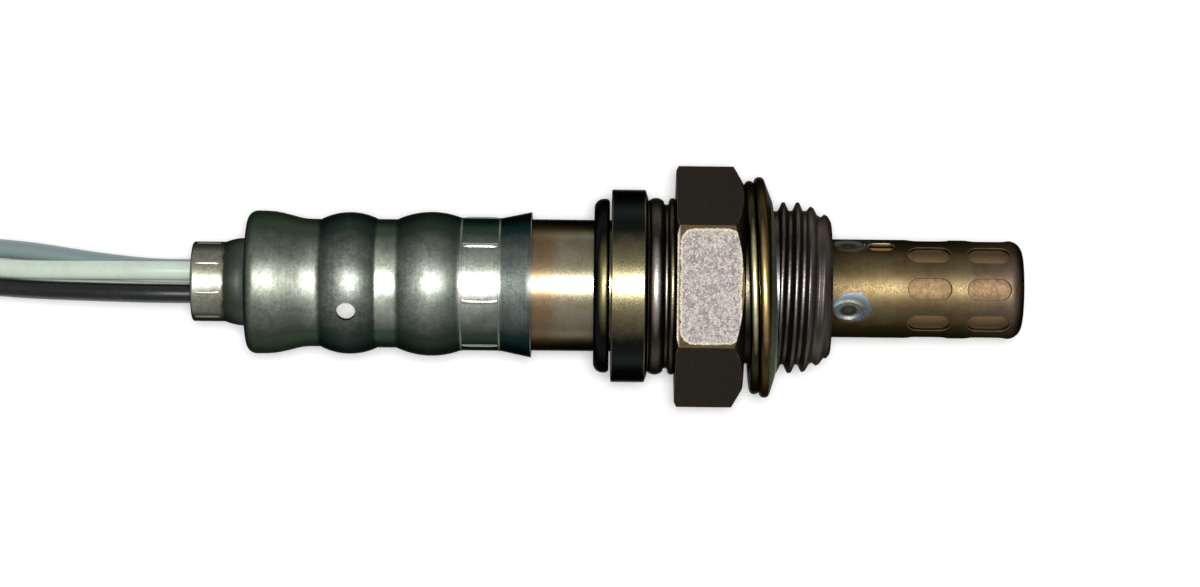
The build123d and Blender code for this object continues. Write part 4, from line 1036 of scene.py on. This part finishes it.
def coverOutline():
    # The drawn cup's outline, flange first, then the outer wall, the round corner and the inner wall
    wall, radius, end = tipCover["wall"], tipCover["radius"], tipCover["end"]
    corner, dome, fillet = tipCover["corner"], tipCover["dome"], tipCover["flangeFillet"]
    rear, flange = tipCover["flangeRear"], tipCover["flangeRadius"]
    front = rear + wall

    def arc(size, angles):
        return [(end - dome - corner + size * sin(radians(angle)),
                 radius - corner + size * cos(radians(angle))) for angle in angles]

    outline = [(rear, radius - wall), (rear, flange), (front, flange), (front, radius + fillet),
               (front + fillet, radius)]
    outline += [(x, radius) for x in (*weld["rings"], *tipCover["rings"])]
    outline += arc(corner, range(0, 91, 9))
    domed = [(end - dome * (share / 5) ** 2, (radius - corner) * share / 5) for share in (4, 3, 2, 1)]
    outline += domed + [(end, 0.0), (end - wall, 0.0)]
    outline += [(x - wall, r) for x, r in reversed(domed)]
    return outline + arc(corner - wall, range(90, -1, -15))


def pressWelds(bm):
    # Presses a shallow hollow with a raised rim into the wall at each weld
    spacing = 360.0 / weld["count"]
    for vert in bm.verts:
        radius = radiusOf(vert)
        along = (vert.co.x / mm - weld["place"]) / weld["length"]
        turn = degrees(atan2(-vert.co.y, vert.co.z)) - weld["turn"]
        off = (turn + spacing / 2) % spacing - spacing / 2
        reach = hypot(along, radians(off) * tipCover["radius"] / weld["width"])
        if radius < (tipCover["radius"] - 0.01) * mm or reach > 1.5:
            continue
        floor = 0.55 + 0.45 * min(1.0, reach / 0.6)
        hollow = -weld["depth"] * max(0.0, 1 - (reach / weld["hollow"]) ** 4) * floor
        rim = weld["rim"] * exp(-((reach - weld["rimPlace"]) / weld["rimWidth"]) ** 2)
        stretchOut(vert, 1 + (hollow + rim) * mm / radius)


def makeTipCover():
    bm = turnedShape(coverOutline(), tipCover["steps"])
    pressWelds(bm)
    cutter = bmesh.new()
    radius, count = tipCover["radius"], tipCover["slotCount"]
    flares = (0.0, 0.0, tipCover["slotFlare"])
    levels = [(radius + level, flare) for level, flare in zip(tipCover["cutLevels"], flares)]
    for place in tipCover["slotPlaces"]:
        for index in range(count):
            addStadium(cutter, place, 360.0 * index / count, *tipCover["slot"], levels)
    for turn in tipCover["portTurns"]:
        addStadium(cutter, tipCover["portPlace"], turn, *tipCover["port"], levels)
    whole = cutAway(bm, cutter)
    worn = whole.faces.layers.float.new("worn")
    rear, front = tipCover["rubbed"]
    steep, level = tipCover["rubbedFacing"]
    for face in whole.faces:
        # The flared rims of the slots and ports are rubbed
        middle = face.calc_center_median()
        radial = Vector((0.0, middle.y, middle.z))
        facing = face.normal.dot(radial.normalized())
        if rear < middle.x < front and steep < facing < level and radial.length > (radius - 0.3) * mm:
            face[worn] = 1.0
    finishPiece(whole, "tipCoverWithSlots", "outer_tip_cover", 40.0)


sleeveBand = {"rear": -33.11, "front": -29.11, "radius": 6.97, "count": 7, "turn": 15.5, "width": 0.62,
              "height": 0.16, "jawSteps": (-33.11, -29.11)}
tubeCollar = {"rear": -61.1, "front": -58.3, "radius": 4.19, "count": 8, "turn": 17.0, "width": 0.4,
              "height": 0.1, "jawSteps": ()}
jawStep = {"half": 0.15, "height": 0.05, "wear": 0.4, "steps": 180}


def addRidges(bm, squeezed):
    # The metal squeezed up between the crimping jaws, and the fine steps at the jaws' two ends
    ridges = bmesh.new()
    radius = squeezed["radius"]
    length = squeezed["front"] - squeezed["rear"]
    middle = (squeezed["front"] + squeezed["rear"]) / 2
    for index in range(squeezed["count"]):
        turn = radians(squeezed["turn"] + 360.0 * index / squeezed["count"])
        made = bmesh.ops.create_grid(ridges, x_segments=10, y_segments=8, size=0.5)
        for vert in made["verts"]:
            along, across = vert.co.x * 2, vert.co.y * 2
            out = (radius + squeezed["height"] * (1 - across ** 2) * (1 - along ** 6) - 0.03) * mm
            angle = turn + across * squeezed["width"] / 2 / radius
            vert.co = ((middle + along * length / 2) * mm, -out * sin(angle), out * cos(angle))
    worn = ridges.faces.layers.float.new("worn")
    for face in ridges.faces:
        face[worn] = 1.0
    half, low, top = jawStep["half"], radius - 0.05, radius + jawStep["height"]
    for x in squeezed["jawSteps"]:
        addShape(ridges, turnedShape([(x - half, low), (x - half * 0.6, top - 0.015), (x, top),
                                      (x + half * 0.6, top - 0.015), (x + half, low)], jawStep["steps"]))
    for face in ridges.faces:
        face[worn] = max(face[worn], jawStep["wear"])
    addShape(bm, ridges)


def spunNode(nodeName, turn, steps):
    # A turned solid made again from its own section at one turn, smooth all the way round
    bm = copyOfNode(nodeName)
    angle = radians(turn)
    across = Vector((0.0, -sin(angle), cos(angle)))
    cutAtPlane(bm, 0, (0.0, cos(angle), sin(angle)), inner=True)
    bmesh.ops.delete(bm, geom=[vert for vert in bm.verts if vert.co.dot(across) < 0], context="VERTS")
    bmesh.ops.delete(bm, geom=bm.faces[:], context="FACES_ONLY")
    mergeCorners(bm, 0.002 * mm)
    spinRound(bm, steps)
    return bm


ventSleeve = {"steps": 192, "cutTurn": 294.0, "ventPlace": -44.95, "ventSize": (2.0, 2.0),
              "ventTurns": (24.0, 144.0, 264.0), "mouth": (-27 * mm, -25 * mm), "edge": 0.05 * mm}
rearTube = {"steps": 180, "cutTurn": 39.5, "edge": 0.05 * mm}


def makeSleeveAndTube():
    # Both are spun smoothly round; the sleeve gets its vents, and both get their crimping ridges
    bm = spunNode("vent_sleeve", ventSleeve["cutTurn"], ventSleeve["steps"])
    cutter = bmesh.new()
    for turn in ventSleeve["ventTurns"]:
        addStadium(cutter, ventSleeve["ventPlace"], turn, *ventSleeve["ventSize"], ((6.0, 0.0), (8.2, 0.0)))
    whole = cutAway(bm, cutter)
    roundEdges(whole, sharpEdges(whole, 50.0, *ventSleeve["mouth"]), ventSleeve["edge"])
    addRidges(whole, sleeveBand)
    finishPiece(whole, "ventSleeveFormed", "vent_sleeve")
    tube = spunNode("rear_tube", rearTube["cutTurn"], rearTube["steps"])
    roundEdges(tube, sharpEdges(tube, 50.0), rearTube["edge"])
    addRidges(tube, tubeCollar)
    finishPiece(tube, "rearTubeFormed", "rear_tube")


softenedEdges = {"gasket": 0.03 * mm, "stop_ring": 0.05 * mm, "inner_tip_cover": 0.04 * mm}


def makeFormedPieces():
    # The bent, turned and drawn pieces, with their corners softened
    for nodeName, width in softenedEdges.items():
        bm = copyOfNode(nodeName)
        if nodeName == "stop_ring":
            roundOut(bm)
        roundEdges(bm, sharpEdges(bm, 50.0), width)
        finishPiece(bm, camelName(nodeName, "Formed"), nodeName)


makeHousing()
makeTipCover()
makeSleeveAndTube()
makeFormedPieces()
print("housing, tip cover and formed pieces made")


def paintRest():
    # Every solid that stays gets the material of its slot
    for name, node in frame["nodes"].items():
        node.data.materials.clear()
        node.data.materials.append(slotMaterials[slotOfNode[name]])


paintRest()
print("solids painted")
